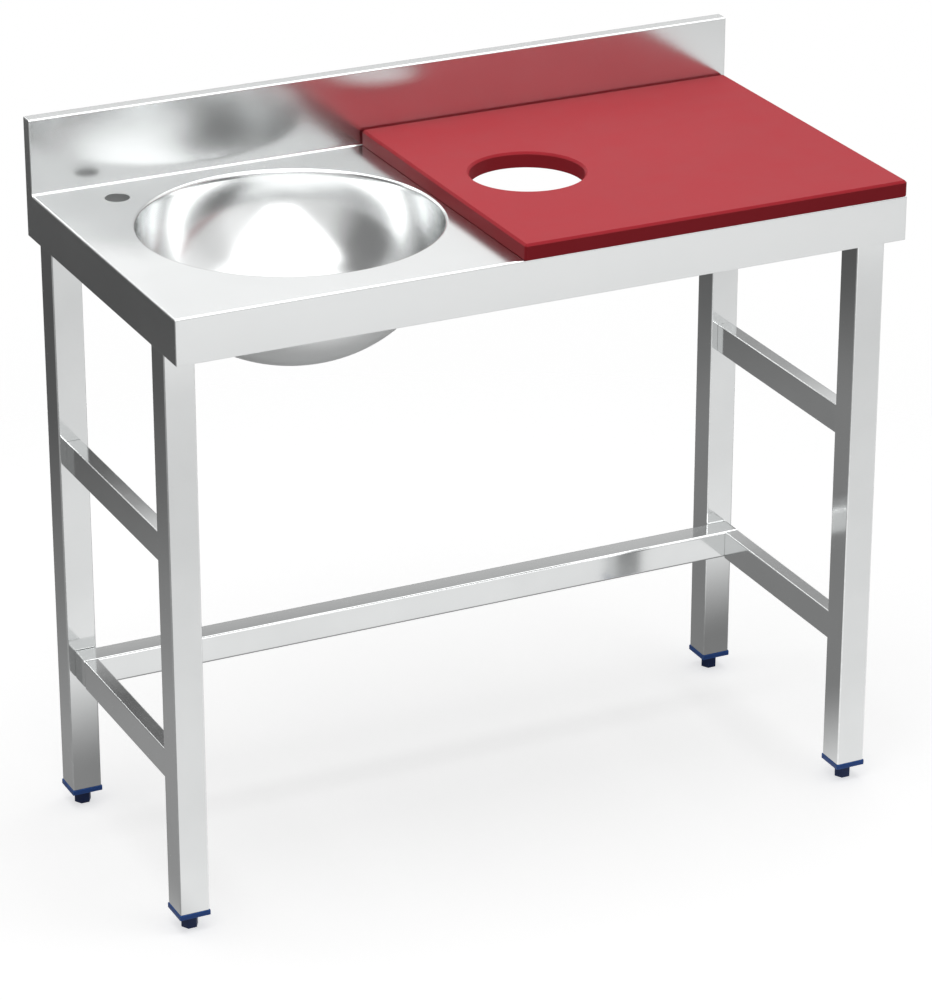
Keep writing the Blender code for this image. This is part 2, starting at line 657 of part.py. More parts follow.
def make_bracket(side, row):
    """The angle between one leg and the underside of the worktop, with its two bolts."""
    sign = SIDES[side]
    top = SHEET_UNDERSIDE - FIT_GAP
    back = LEG_CENTRE_X - LEG_WIDTH / 2 - FIT_GAP
    outline = rounded_outline([
        (sign * back, top, 0.0, 1),
        (sign * (back - BRACKET_REACH), top, 0.0, 1),
        (sign * (back - BRACKET_REACH), top - BRACKET_THICKNESS, 0.0, 1),
        (sign * (back - BRACKET_THICKNESS), top - BRACKET_THICKNESS, BRACKET_RADIUS, BEND_STEPS),
        (sign * (back - BRACKET_THICKNESS), top - BRACKET_DROP, 0.0, 1),
        (sign * back, top - BRACKET_DROP, 0.0, 1),
    ])
    middle = LEG_CENTRE_Y[row]
    bar = prism(outline, "Y", middle - LEG_WIDTH / 2, middle + LEG_WIDTH / 2)
    bracket = place_mesh(f"bracket_{row}_{side}", bar, BRUSHED_STEEL)
    for number, spot in bolt_places(side, row):
        combine(bracket, bolt_hole(f"bracket_hole_{row}_{side}_{number}", spot))
        make_bolt(f"bolt_{row}_{side}_{number}", spot, sign)


def make_bolt(name, spot, sign):
    """A hexagon bolt: its head on the bracket, its shank through both walls."""
    head_seat = -sign * (FIT_GAP + BRACKET_THICKNESS + FIT_GAP)
    head_end = head_seat - sign * BOLT_HEAD_HEIGHT
    shank_end = head_seat + sign * BOLT_LENGTH
    shape = bmesh.new()
    rings = []
    flat = BOLT_HEAD_ACROSS_FLATS / 2
    corner = BOLT_HEAD_ACROSS_FLATS / math.sqrt(3.0)
    shank = BOLT_DIAMETER / 2
    tip = shank - STUD_TIP_CHAMFER
    count = BOLT_SEGMENTS
    levels = (
        (head_end, flat, True), (head_end + sign * (corner - flat), corner, True),
        (head_seat, corner, True), (head_seat, shank, False),
        (shank_end - sign * STUD_TIP_CHAMFER, shank, False), (shank_end, tip, False),
    )
    for along, reach, hexagonal in levels:
        ring = []
        for step in range(count):
            angle = math.tau * step / count
            radius = min(reach, hexagon_radius(angle, flat)) if hexagonal else reach
            ring.append(shape.verts.new((along, radius * math.cos(angle), radius * math.sin(angle))))
        rings.append(ring)
    stack_rings(shape, rings)
    place_mesh(name, shape, ZINC_STEEL, spot)


def hexagon_radius(angle, flat):
    """Distance from the middle of a hexagon to its edge in one direction."""
    sector = math.tau / 6
    return flat / math.cos((angle % sector) - sector / 2)


def make_side_rails(side):
    """The upper and the lower rail between the front and the rear leg of one side."""
    x = SIDES[side] * LEG_CENTRE_X
    for level, top, end in (
        ("upper", UPPER_RAIL_TOP, RAIL_REAR_END),
        ("lower", LOWER_RAIL_TOP, REAR_RAIL_FRONT - FIT_GAP),
    ):
        centre = (x, top - RAIL_HEIGHT / 2)
        tube(
            f"{level}_rail_{side}", RAIL_WIDTH, RAIL_HEIGHT, RAIL_WALL, TUBE_RADIUS, "Y",
            RAIL_FRONT_END, end, centre,
        )


def make_rear_rail():
    """The long rail in front of the rear legs, closed at both ends by small plates."""
    half_length = LEG_CENTRE_X + RAIL_WIDTH / 2
    centre = (REAR_RAIL_FRONT + REAR_RAIL_DEPTH / 2, LOWER_RAIL_TOP - REAR_RAIL_HEIGHT / 2)
    tube_end = half_length - END_PLATE_THICKNESS - FIT_GAP
    tube(
        "rear_rail", REAR_RAIL_DEPTH, REAR_RAIL_HEIGHT, REAR_RAIL_WALL, REAR_RAIL_RADIUS, "X",
        -tube_end, tube_end, centre,
    )
    outline = rounded_outline(rectangle(REAR_RAIL_DEPTH, REAR_RAIL_HEIGHT, REAR_RAIL_RADIUS, centre=centre))
    for side, sign in SIDES.items():
        plate = prism(outline, "X", sign * half_length, sign * (half_length - END_PLATE_THICKNESS))
        place_mesh(f"rear_rail_end_{side}", plate, BRUSHED_STEEL)


def make_foot(side, row):
    """One screw foot: the insert in the leg, the threaded stud and the hexagonal foot."""
    place = (SIDES[side] * LEG_CENTRE_X, LEG_CENTRE_Y[row], 0.0)
    insert = place_mesh(f"foot_insert_{row}_{side}", insert_shape(), BLUE_PLASTIC, place)
    plate_bottom = FOOT_HEIGHT + FIT_GAP
    plug_top = LEG_BOTTOM + INSERT_PLUG_HEIGHT
    bore = cylinder(
        STUD_DIAMETER / 2 + FIT_GAP,
        plate_bottom - CUTTER_MARGIN,
        plug_top + CUTTER_MARGIN,
        STUD_SEGMENTS,
    )
    combine(insert, place_mesh(f"insert_bore_{row}_{side}", bore, None, place))

    stud_bottom = FOOT_HEIGHT - FOOT_SOCKET_DEPTH + FIT_GAP
    stud_top = FOOT_HEIGHT + STUD_ABOVE_FOOT
    stud_radius = STUD_DIAMETER / 2
    stud = turned([
        (0.0, stud_top), (stud_radius - STUD_TIP_CHAMFER, stud_top),
        (stud_radius, stud_top - STUD_TIP_CHAMFER), (stud_radius, stud_bottom), (0.0, stud_bottom),
    ], STUD_SEGMENTS)
    place_mesh(f"foot_stud_{row}_{side}", stud, ZINC_STEEL, place)

    flat = FOOT_ACROSS_FLATS / 2
    shape = bmesh.new()
    rings = []
    for height, inset in ((0.0, FOOT_CHAMFER), (FOOT_CHAMFER, 0.0), (FOOT_HEIGHT, 0.0)):
        outline = hexagon(2 * (flat - inset))
        rings.append([shape.verts.new((x, y, height)) for x, y in outline])
    stack_rings(shape, rings)
    foot = place_mesh(f"foot_{row}_{side}", shape, NAVY_PLASTIC, place)
    socket = cylinder(
        stud_radius + FIT_GAP,
        FOOT_HEIGHT - FOOT_SOCKET_DEPTH,
        FOOT_HEIGHT + CUTTER_MARGIN,
        STUD_SEGMENTS,
    )
    combine(foot, place_mesh(f"foot_socket_{row}_{side}", socket, None, place))


def insert_shape():
    """Square insert: a plate under the tube and a plug with fins that grip the tube's bore."""
    plate = LEG_WIDTH + 2 * INSERT_OVERHANG
    fin = LEG_WIDTH - 2 * LEG_WALL - 2 * FIT_GAP
    core = fin - 2 * INSERT_FIN_DEPTH
    bottom = FOOT_HEIGHT + FIT_GAP
    top = bottom + INSERT_PLATE_HEIGHT
    levels = [
        (bottom, plate - 2 * INSERT_EDGE), (bottom + INSERT_EDGE, plate),
        (top - INSERT_EDGE / 2, plate), (top, plate - INSERT_EDGE), (top, core),
    ]
    pitch = INSERT_PLUG_HEIGHT / INSERT_FINS
    for number in range(INSERT_FINS):
        end = LEG_BOTTOM + pitch * (number + 1)
        crest_top = end - INSERT_FIN_END_SLOPE
        crest_bottom = crest_top - INSERT_FIN_CREST
        levels.append((crest_bottom - INSERT_FIN_SLOPE, core))
        levels.append((crest_bottom, fin))
        levels.append((crest_top, fin))
        levels.append((end, core))
    shape = bmesh.new()
    rings = []
    for height, size in levels:
        outline = rounded_outline(rectangle(size, size, INSERT_CORNER_RADIUS, 1))
        rings.append([shape.verts.new((x, y, height)) for x, y in outline])
    stack_rings(shape, rings)
    return shape


def make_frame():
    """Legs, brackets, feet and rails."""
    for row in ("front", "rear"):
        for side in SIDES:
            make_leg(side, row)
            make_bracket(side, row)
            make_foot(side, row)
    for side in SIDES:
        make_side_rails(side)
    make_rear_rail()


clear_scene()
make_worktop()
make_upstand_caps()
make_channels()
make_bowl()
make_waste_fitting()
make_board()
make_frame()
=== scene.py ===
"""Looks of the sink table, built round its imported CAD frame.

Metres, +Z up. The origin is on the floor under the middle of the worktop. +X runs to the right
along the table and +Y runs back to the wall. Sizes that the frame knows are read from it.
"""

import json
import math

import bmesh
import bpy
import numpy as np
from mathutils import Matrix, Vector, geometry


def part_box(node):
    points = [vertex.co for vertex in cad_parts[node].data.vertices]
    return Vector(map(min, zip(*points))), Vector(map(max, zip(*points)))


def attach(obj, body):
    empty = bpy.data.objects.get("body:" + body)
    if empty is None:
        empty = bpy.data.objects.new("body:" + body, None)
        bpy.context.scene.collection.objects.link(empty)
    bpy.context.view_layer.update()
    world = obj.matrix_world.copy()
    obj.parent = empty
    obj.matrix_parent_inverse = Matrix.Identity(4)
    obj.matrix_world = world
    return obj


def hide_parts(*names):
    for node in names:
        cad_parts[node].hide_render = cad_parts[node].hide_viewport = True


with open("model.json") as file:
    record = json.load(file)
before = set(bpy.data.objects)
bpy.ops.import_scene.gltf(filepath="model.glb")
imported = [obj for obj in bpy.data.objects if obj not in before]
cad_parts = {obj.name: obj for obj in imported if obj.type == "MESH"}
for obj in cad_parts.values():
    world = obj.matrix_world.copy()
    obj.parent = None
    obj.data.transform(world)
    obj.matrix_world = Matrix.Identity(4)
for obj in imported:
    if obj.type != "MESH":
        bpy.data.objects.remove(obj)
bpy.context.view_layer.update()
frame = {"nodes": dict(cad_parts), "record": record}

# Folded worktop
SHEET = 0.0009
UPSTAND_HEIGHT = 0.100
UPSTAND_DEPTH = 0.020
COVE_RADIUS = 0.0022
CREST_RADIUS = 0.0020
BEND_RADIUS = 0.0025
CORNER_RADIUS = 0.0012
HEM_HEIGHT = 0.012
HEM_THICKNESS = 0.0020
TAP_HOLE_DIAMETER = 0.032
TAP_HOLE_FROM_LEFT_END = 0.095
TAP_HOLE_FROM_REAR = 0.074
CHUTE_CLEARANCE = 0.006

# Bowl, its opening and its waste
OPENING_DIAMETER = 0.3950
RIM_DROP = 0.0072
RIM_ROUNDING = 0.0044
RIM_SLOPE = math.radians(3.0)
BOWL_WALL = 0.0010
RECESS_DIAMETER = 0.088
RECESS_DRAFT = 0.002
RECESS_FILLET = 0.0015
WASTE_HOLE_DIAMETER = 0.050
FLANGE_THICKNESS = 0.0025
FLANGE_EDGE = 0.0008
TAIL_DIAMETER = 0.048
TAIL_WALL = 0.0030
STRAINER_HOLES = 8
STRAINER_HOLE_DIAMETER = 0.008
STRAINER_RING_DIAMETER = 0.026

# Cutting board
BOARD_CHAMFER = 0.003
BOARD_UNDER_CHAMFER = 0.0004
BOARD_BREAK = 0.0005
BOARD_HOLE_DIAMETER = 0.148
CHUTE_FROM_BOARD_END = 0.122

# Tubes and feet
LEG_RADIUS = 0.0018
LEG_WALL = 0.0012
RAIL_RADIUS = 0.0015
REAR_RAIL_RADIUS = 0.0030
REAR_RAIL_WALL = 0.0015
CUT_EDGE = 0.0002
INSERT_EDGE = 0.0007
INSERT_CORNER = 0.0010
INSERT_FINS = 3
INSERT_FIN_DEPTH = 0.0015
FOOT_CHAMFER = 0.0010
FOOT_CHAMFER_BREAK = 0.3
FOOT_SOCKET_DEPTH = 0.014
STUD_DIAMETER = 0.010
THREAD_PITCH = 0.0015
THREAD_DEPTH = 0.0009
THREAD_CREST_SLOPE = 1.6
THREAD_ROOT_FLAT = 0.2
RUNNING_GAP = 0.0003
INSERT_OVERHANG = 0.0010
FIN_RISE = 0.3
FIN_CREST = 0.5
FIN_FALL = 0.7
HEXAGON_ROUNDING = 0.0006

# Fineness of the meshes
ROUND_STEPS = 6
EDGE_STEPS = 3
INSERT_STEPS = 4
HEM_STEPS = 8
BIG_CIRCLE = 192
SMALL_CIRCLE = 96
TINY_CIRCLE = 48
STRAINER_CIRCLE = 32
BOWL_RINGS = 56
STUD_SIDES = 36
STUD_ROWS_PER_TURN = 8
SUPPORT = 0.0004
MERGE = 0.000002
SHARP_ANGLE = 35.0
BOARD_SHARP_ANGLE = 40.0
STUD_SHARP_ANGLE = 60.0

# Edges rubbed pale with a painted highlight along them: folds from the first to the second angle grow paler,
# on faces narrower than the width
WEAR_AND_SHEEN_FROM = math.radians(6.0)
WEAR_AND_SHEEN_FULL = math.radians(14.0)
WEAR_AND_SHEEN_WIDTH = 0.001
WEAR_AND_SHEEN_PATCH = 0.008
WEAR_AND_SHEEN_LEAST = 0.25
# Steel edge colour and roughness: partly rubbed bright, partly a painted highlight along the edges
WORN_AND_SHEEN_STEEL = (0.80, 0.81, 0.81)
WORN_STEEL_ROUGH = 0.12
WORN_PLASTIC_ROUGHER = 0.10

# Textures: sizes of grains in metres, and how a grain stretches along a piece
ALONG_X = (12.0, 1.0, 1.0)
ALONG_Z = (1.0, 1.0, 12.0)
EVEN = (1.0, 1.0, 1.0)
NOISE_LOW = 0.30
NOISE_HIGH = 0.70
NOISE_DETAIL = 3.0
NOISE_ROUGHNESS = 0.55
STEEL_GRAIN = 0.0012
STEEL_GRAIN_DETAIL = 2.0
STEEL_CLOUD = 0.11
STEEL_CLOUD_SHARE = 0.65
STEEL_BUMP = 0.35
PLASTIC_CLOUD = 0.05
PLASTIC_CLOUD_DETAIL = 4.0
PLASTIC_BUMP = 0.40

# Camera, solved from the photograph's straight edges
PICTURE_WIDTH = 932
FOCAL_PIXELS = 4269.0
SENSOR_WIDTH = 36.0
CLIP_END = 50.0
CAMERA_PLACE = (-2.2188, -4.6086, 2.6725)
CAMERA_YAW = math.radians(25.707)
CAMERA_PITCH = math.radians(23.723)

# Light on matt surfaces
AMBIENT = 0.195
LAMP_POWER = 53.0
LAMP_SIZE = (3.2, 2.6)
LAMP_PLACE = (-0.1, -0.3, 3.0)

# Room that the steel mirrors, on rays that have met fewer matt surfaces than this
MATT_BOUNCES = 0.5

# Its walls, by azimuth in degrees from the rear, right positive
WALL_TONES = (
    (-180, 0.98), (-125, 0.90), (-100, 0.26), (-65, 0.24), (-42, 0.95), (0, 1.05),
    (60, 1.10), (100, 1.15), (125, 0.88), (140, 0.92), (154, 1.18), (168, 1.14), (180, 0.98),
)
GROUND_TONE = 0.60
HORIZON = (-0.10, 0.02)

# Its strip light: sides and rear end are ways across it and along it per metre that a ray rises
STRIP_TONE = 4.5
STRIP_AZIMUTH = math.radians(196.0)
STRIP_SIDES = (0.84, 0.72)
STRIP_RISE = (0.20, 0.24)
STRIP_REAR = (0.10, 0.60)

# Its panel overhead: the edge is told by the cosine of the angle to the axis
PANEL_TONE = 2.3
PANEL_AXIS = (0.15, 0.10, 0.98)
PANEL_EDGE = (0.70, 0.84)

# Backdrop that the level steel faces mirror, by height in metres, on its left and on its right
BACKDROP_Y = 2.0
BACKDROP_HALF_WIDTH = 3.0
BACKDROP_HEIGHT = 3.0
BACKDROP_LEFT = (
    (0.0, 0.10), (0.30, 0.12), (0.90, 0.60), (1.15, 0.85), (1.24, 0.12), (1.50, 0.10), (1.56, 1.30),
    (1.80, 1.24), (2.10, 1.18), (2.60, 2.40), (3.0, 2.60),
)
BACKDROP_RIGHT = (
    (0.0, 0.10), (0.30, 0.12), (0.90, 0.60), (1.15, 0.85), (1.24, 0.40), (1.49, 0.36), (1.55, 1.12),
    (1.80, 1.06), (2.10, 1.18), (2.60, 2.40), (3.0, 2.60),
)
BACKDROP_SIDES = (0.5, 1.5)

# Floor: what the camera sees, and the tones that the steel mirrors, along Y in metres. These tones are a
# painted pool of light at the front and a painted shadow of the table behind it, darker where it lies under
# the table
FLOOR_RADIUS = 3.2
FLOOR_SINK = 0.0005
FLOOR_SIDES = 96
FLOOR_COLOUR = 0.66
FLOOR_GLOW = 0.66
FLOOR_FADE = (0.7, 2.0)
FLOOR_SHADOW_REAR_LEFT = ((0.40, 0.355), (0.75, 0.27), (1.08, 0.185), (1.46, 0.125), (1.90, 0.10))
FLOOR_SHADOW_REAR_RIGHT = ((0.40, 0.27), (1.00, 0.265), (1.47, 0.165), (1.90, 0.12))
FLOOR_LIGHT_POOL_FRONT = ((-2.20, 1.25), (-1.90, 0.92), (-1.50, 0.87), (-1.10, 0.96), (-0.50, 1.00), (-0.27, 1.08))
REAR_SIDES = (-0.60, -0.30)
FRONT_EDGE = (0.08, -0.28)
FRONT_LEFT_EDGE = (-0.56, -0.44)


def grid_quads(rows, columns, loop_rows, loop_columns):
    """Corner numbers of a grid's quads. The grid can run round in a loop either way."""
    row = np.arange(rows if loop_rows else rows - 1)
    column = np.arange(columns if loop_columns else columns - 1)
    here, across = np.meshgrid(row, column, indexing="ij")
    below = (here + 1) % rows
    beside = (across + 1) % columns
    corners = [
        here * columns + across, here * columns + beside,
        below * columns + beside, below * columns + across,
    ]
    return np.stack(corners, axis=-1).reshape(-1, 4)


def grid_patch(points, loop_rows=False, loop_columns=False):
    """A patch from an array of points shaped (rows, columns, 3)."""
    rows, columns = points.shape[:2]
    return points.reshape(-1, 3), grid_quads(rows, columns, loop_rows, loop_columns)


def flat_patch(outlines):
    """A flat patch: the first outline is its edge and the others are its holes."""
    triangles = geometry.tessellate_polygon([[Vector(point) for point in ring] for ring in outlines])
    return np.concatenate(outlines), np.array(triangles)


def face_patch(points):
    """One flat face with many corners."""
    return np.asarray(points), np.arange(len(points))[None, :]


def build(name, patches, material, body, stands_for, facing=None, sharp=SHARP_ANGLE):
    """Merge patches into one piece: their points go into one array, each patch's corner numbers
    are raised by the points before it, and points that meet are welded. facing is a direction that
    the highest face must have."""
    counts = [len(points) for points, _ in patches]
    starts = np.concatenate([[0], np.cumsum(counts)[:-1]])
    faces = []
    for start, (_, corners) in zip(starts, patches):
        faces.extend((corners + start).tolist())
    mesh = bpy.data.meshes.new(name)
    mesh.from_pydata(np.concatenate([points for points, _ in patches]).tolist(), [], faces)
    shape = bmesh.new()
    shape.from_mesh(mesh)
    bmesh.ops.remove_doubles(shape, verts=shape.verts, dist=MERGE)
    bmesh.ops.dissolve_degenerate(shape, edges=shape.edges, dist=MERGE / 2)
    loose = [corner for corner in shape.verts if not corner.link_faces]
    bmesh.ops.delete(shape, geom=loose, context="VERTS")
    bmesh.ops.recalc_face_normals(shape, faces=shape.faces)
    if facing is not None:
        widest = max(shape.faces, key=lambda face: face.calc_area() * abs(face.normal.dot(facing)))
        if widest.normal.dot(facing) < 0.0:
            bmesh.ops.reverse_faces(shape, faces=shape.faces)
    shape.to_mesh(mesh)
    shape.free()
    return place_piece(name, mesh, material, body, stands_for, sharp)


def read_array(items, field, width=1, kind=float):
    """One field of all items of a mesh as an array."""
    values = np.zeros(len(items) * width, dtype=kind)
    items.foreach_get(field, values)
    return values.reshape(-1, width) if width > 1 else values


def edge_wear_and_sheen(mesh):
    """How far each corner is rubbed pale and carries a painted edge highlight, from 0 to 1. It grows
    with the steepest fold of its edges: two unit normals beside a fold add up to twice the cosine of
    half its angle. Open edges count as flat. A corner of a wide face stays plain, and a face is as
    wide as twice its area over its perimeter."""
    sides = read_array(mesh.loops, "edge_index", kind=int)
    corners = read_array(mesh.loops, "vertex_index", kind=int)
    ends = read_array(mesh.edges, "vertices", 2, int)
    places = read_array(mesh.vertices, "co", 3)
    totals = read_array(mesh.polygons, "loop_total", kind=int)
    owner = np.repeat(np.arange(len(totals)), totals)
    sums = np.zeros((len(ends), 3))
    np.add.at(sums, sides, read_array(mesh.polygons, "normal", 3)[owner])
    folds = 2.0 * np.arccos(np.clip(np.linalg.norm(sums, axis=1) / 2.0, 0.0, 1.0))
    folds[np.bincount(sides, minlength=len(ends)) < 2] = 0.0
    share = np.clip((folds - WEAR_AND_SHEEN_FROM) / (WEAR_AND_SHEEN_FULL - WEAR_AND_SHEEN_FROM), 0.0, 1.0)
    wear_and_sheen = np.zeros(len(places))
    np.maximum.at(wear_and_sheen, ends, share[:, None])
    lengths = np.linalg.norm(places[ends[:, 0]] - places[ends[:, 1]], axis=1)
    perimeter = np.zeros(len(totals))
    np.add.at(perimeter, owner, lengths[sides])
    wide = 2.0 * read_array(mesh.polygons, "area") / perimeter > WEAR_AND_SHEEN_WIDTH
    wear_and_sheen[corners[wide[owner]]] = 0.0
    return wear_and_sheen


def write_attribute(mesh, name, values):
    """Store one number for each corner of a mesh under a name that its material reads."""
    mesh.attributes.new(name, "FLOAT", "POINT").data.foreach_set("value", values)


def place_piece(name, mesh, material, body, stands_for, sharp=SHARP_ANGLE):
    """Put a mesh into the scene on its body, in place of CAD nodes."""
    mesh.materials.append(material)
    mesh.shade_smooth()
    mesh.set_sharp_from_angle(angle=math.radians(sharp))
    uses = np.bincount(read_array(mesh.loops, "edge_index", kind=int), minlength=len(mesh.edges))
    marked = read_array(mesh.edges, "use_edge_sharp", kind=bool)
    mesh.edges.foreach_set("use_edge_sharp", marked | (uses == 1))
    # Share of rubbed edge and painted edge highlight, read by the materials
    write_attribute(mesh, "wear_and_sheen", edge_wear_and_sheen(mesh))
    placed = bpy.data.objects.new(name, mesh)
    bpy.context.scene.collection.objects.link(placed)
    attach(placed, body)
    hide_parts(*stands_for)
    return placed


def arc(centre, radius, start, end, steps=ROUND_STEPS):
    """Points (u, v) along an arc, with its angles in degrees."""
    angle = np.radians(np.linspace(start, end, steps + 1))
    return np.stack([centre[0] + radius * np.cos(angle), centre[1] + radius * np.sin(angle)], axis=-1)


def circle(centre, radius, height, count):
    """Points round a level circle."""
    angle = np.linspace(0.0, math.tau, count, endpoint=False)
    x = centre[0] + radius * np.cos(angle)
    y = centre[1] + radius * np.sin(angle)
    return np.stack([x, y, np.full(count, height)], axis=-1)


def corner_ring(half_u, half_v, radius, inset):
    """Rounded rectangle drawn in by an inset. A corner's radius shrinks with the inset, down to a
    sharp corner, and a support point before and after each arc keeps the flat sides flat."""
    centre = max(radius, inset)
    rounding = centre - inset
    points = []
    for quadrant, (u, v) in enumerate(((1, 1), (-1, 1), (-1, -1), (1, -1))):
        middle = (u * (half_u - centre), v * (half_v - centre))
        bend = arc(middle, rounding, 90 * quadrant, 90 * quadrant + 90)
        along = np.array((-math.sin(math.pi / 2 * quadrant), math.cos(math.pi / 2 * quadrant)))
        after = np.array((-along[1], along[0]))
        points.extend([bend[:1] - along * SUPPORT, bend, bend[-1:] + after * SUPPORT])
    return np.concatenate(points)


def rounded_profile(low, high, inner, edge):
    """Closed profile of a tube wall as (along, inset), with small roundings at its four edges."""
    first = arc((low + edge, edge), edge, 270, 180, EDGE_STEPS)
    second = arc((low + edge, inner - edge), edge, 180, 90, EDGE_STEPS)
    third = arc((high - edge, inner - edge), edge, 90, 0, EDGE_STEPS)
    fourth = arc((high - edge, edge), edge, 360, 270, EDGE_STEPS)
    supports = [[high - edge - SUPPORT, 0.0], [low + edge + SUPPORT, 0.0]]
    return np.concatenate([first, second, third, fourth, supports])


def set_axis(along, across, axis):
    """Columns (u, v) and a distance along X, Y or Z as points in space."""
    columns = {
        "X": (along, across[:, 0], across[:, 1]),
        "Y": (across[:, 0], along, across[:, 1]),
        "Z": (across[:, 0], across[:, 1], along),
    }
    return np.stack(columns[axis], axis=-1)


def tube_piece(node, axis, radius, wall):
    """A rounded tube as long and as wide as its CAD node: the wall's profile is carried round the
    tube's rectangle, each profile point on the rectangle drawn in by its inset."""
    low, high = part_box(node)
    number = "XYZ".index(axis)
    others = [index for index in range(3) if index != number]
    half = [(high[index] - low[index]) / 2 for index in others]
    middle = np.array([(high[index] + low[index]) / 2 for index in others])
    rows = []
    for along, inset in rounded_profile(low[number], high[number], wall, CUT_EDGE):
        ring = corner_ring(half[0], half[1], radius, inset) + middle
        rows.append(set_axis(np.full(len(ring), along), ring, axis))
    patch = grid_patch(np.array(rows), loop_rows=True, loop_columns=True)
    build(node, [patch], TUBE_STEEL, "frame", [node])


def turned_patch(profile, centre, count, loop_rows=False):
    """A surface turned about a vertical axis from profile points (radius, height)."""
    angle = np.linspace(0.0, math.tau, count, endpoint=False)
    radius = np.asarray(profile)[:, :1]
    height = np.repeat(np.asarray(profile)[:, 1:], count, axis=1)
    points = np.stack([
        centre[0] + radius * np.cos(angle), centre[1] + radius * np.sin(angle), height,
    ], axis=-1)
    return grid_patch(points, loop_rows=loop_rows, loop_columns=True)


def fillet(before, corner, after, radius, steps=ROUND_STEPS):
    """Points of a fillet between two straight lines that meet in a corner. Its centre lies on the
    line halfway between them, the radius over the sine of half their angle out. Between the points
    where it touches them, each point mixes the two by the sines of its shares of the sweep."""
    corner = np.asarray(corner)
    back = np.asarray(before) - corner
    ahead = np.asarray(after) - corner
    back = back / np.linalg.norm(back)
    ahead = ahead / np.linalg.norm(ahead)
    half = math.acos(float(np.clip(back @ ahead, -1.0, 1.0))) / 2
    middle = (back + ahead) / np.linalg.norm(back + ahead)
    centre = corner + middle * radius / math.sin(half)
    reach = radius / math.tan(half)
    first = corner + back * reach - centre
    last = corner + ahead * reach - centre
    share = np.linspace(0.0, 1.0, steps + 1)[:, None]
    sweep = math.acos(float(np.clip(first @ last / radius ** 2, -1.0, 1.0)))
    mixed = (np.sin((1 - share) * sweep) * first + np.sin(share * sweep) * last) / math.sin(sweep)
    return centre + mixed


def feed(tree, socket, value):
    """Give a socket a number, a colour of three numbers or the output of another node."""
    if isinstance(value, bpy.types.NodeSocket):
        tree.links.new(value, socket)
    else:
        socket.default_value = (*value, 1.0) if isinstance(value, tuple) else value


# Materials: every texture reads Object coordinates, so that it stays on its piece
def noise(tree, size, stretch=EVEN, detail=NOISE_DETAIL):
    """A noise value whose grains are as large as size, in metres, times the stretch."""
    place = tree.nodes.new("ShaderNodeTexCoord")
    mapping = tree.nodes.new("ShaderNodeMapping")
    mapping.inputs["Scale"].default_value = [1.0 / (size * value) for value in stretch]
    texture = tree.nodes.new("ShaderNodeTexNoise")
    texture.inputs["Scale"].default_value = 1.0
    texture.inputs["Detail"].default_value = detail
    texture.inputs["Roughness"].default_value = NOISE_ROUGHNESS
    tree.links.new(place.outputs["Object"], mapping.inputs["Vector"])
    tree.links.new(mapping.outputs["Vector"], texture.inputs["Vector"])
    return texture.outputs["Fac"]


def spread(tree, value, low, high):
    """Carry the range that most of a noise's values lie in to another range."""
    node = tree.nodes.new("ShaderNodeMapRange")
    node.inputs["From Min"].default_value = NOISE_LOW
    node.inputs["From Max"].default_value = NOISE_HIGH
    node.inputs["To Min"].default_value = low
    node.inputs["To Max"].default_value = high
    tree.links.new(value, node.inputs["Value"])
    return node.outputs["Result"]


def math_value(tree, operation, first, second=0.0, third=0.0):
    """One Math node. Each input is a number or the output of another node."""
    node = tree.nodes.new("ShaderNodeMath")
    node.operation = operation
    for socket, value in zip(node.inputs, (first, second, third)):
        feed(tree, socket, value)
    return node.outputs["Value"]


def mix(tree, kind, factor, first, second):
    """Mix two inputs of one kind, FLOAT or RGBA, by a factor."""
    node = tree.nodes.new("ShaderNodeMix")
    node.data_type = kind
    for name, value in (("Factor", factor), ("A", first), ("B", second)):
        feed(tree, node.inputs[name], value)
    return node.outputs["Result"]


def tint(tree, factor, first, second):
    """Mix two colours by a factor."""
    return mix(tree, "RGBA", factor, first, second)


def mix_values(tree, factor, first, second):
    """Mix two numbers by a factor."""
    return mix(tree, "FLOAT", factor, first, second)


def bump(tree, shader, value, depth, strength):
    """Raise the shader's surface by a value times a depth in metres."""
    node = tree.nodes.new("ShaderNodeBump")
    node.inputs["Distance"].default_value = depth
    node.inputs["Strength"].default_value = strength
    tree.links.new(value, node.inputs["Height"])
    tree.links.new(node.outputs["Normal"], shader.inputs["Normal"])


def attribute(tree, name):
    """The number that a mesh stores under a name; a mesh without it gives 0."""
    node = tree.nodes.new("ShaderNodeAttribute")
    node.attribute_name = name
    return node.outputs["Fac"]


def new_material(name):
    """An empty Principled material with its tree and its shader."""
    material = bpy.data.materials.new(name)
    material["slot"] = name
    material.use_nodes = True
    return material, material.node_tree, material.node_tree.nodes["Principled BSDF"]


def worn_and_sheen_edges(tree):
    """Where edges are rubbed pale and carry a painted highlight: the stored share, broken up by a noise."""
    patchy = spread(tree, noise(tree, WEAR_AND_SHEEN_PATCH), WEAR_AND_SHEEN_LEAST, 1.0)
    return math_value(tree, "MULTIPLY", attribute(tree, "wear_and_sheen"), patchy)


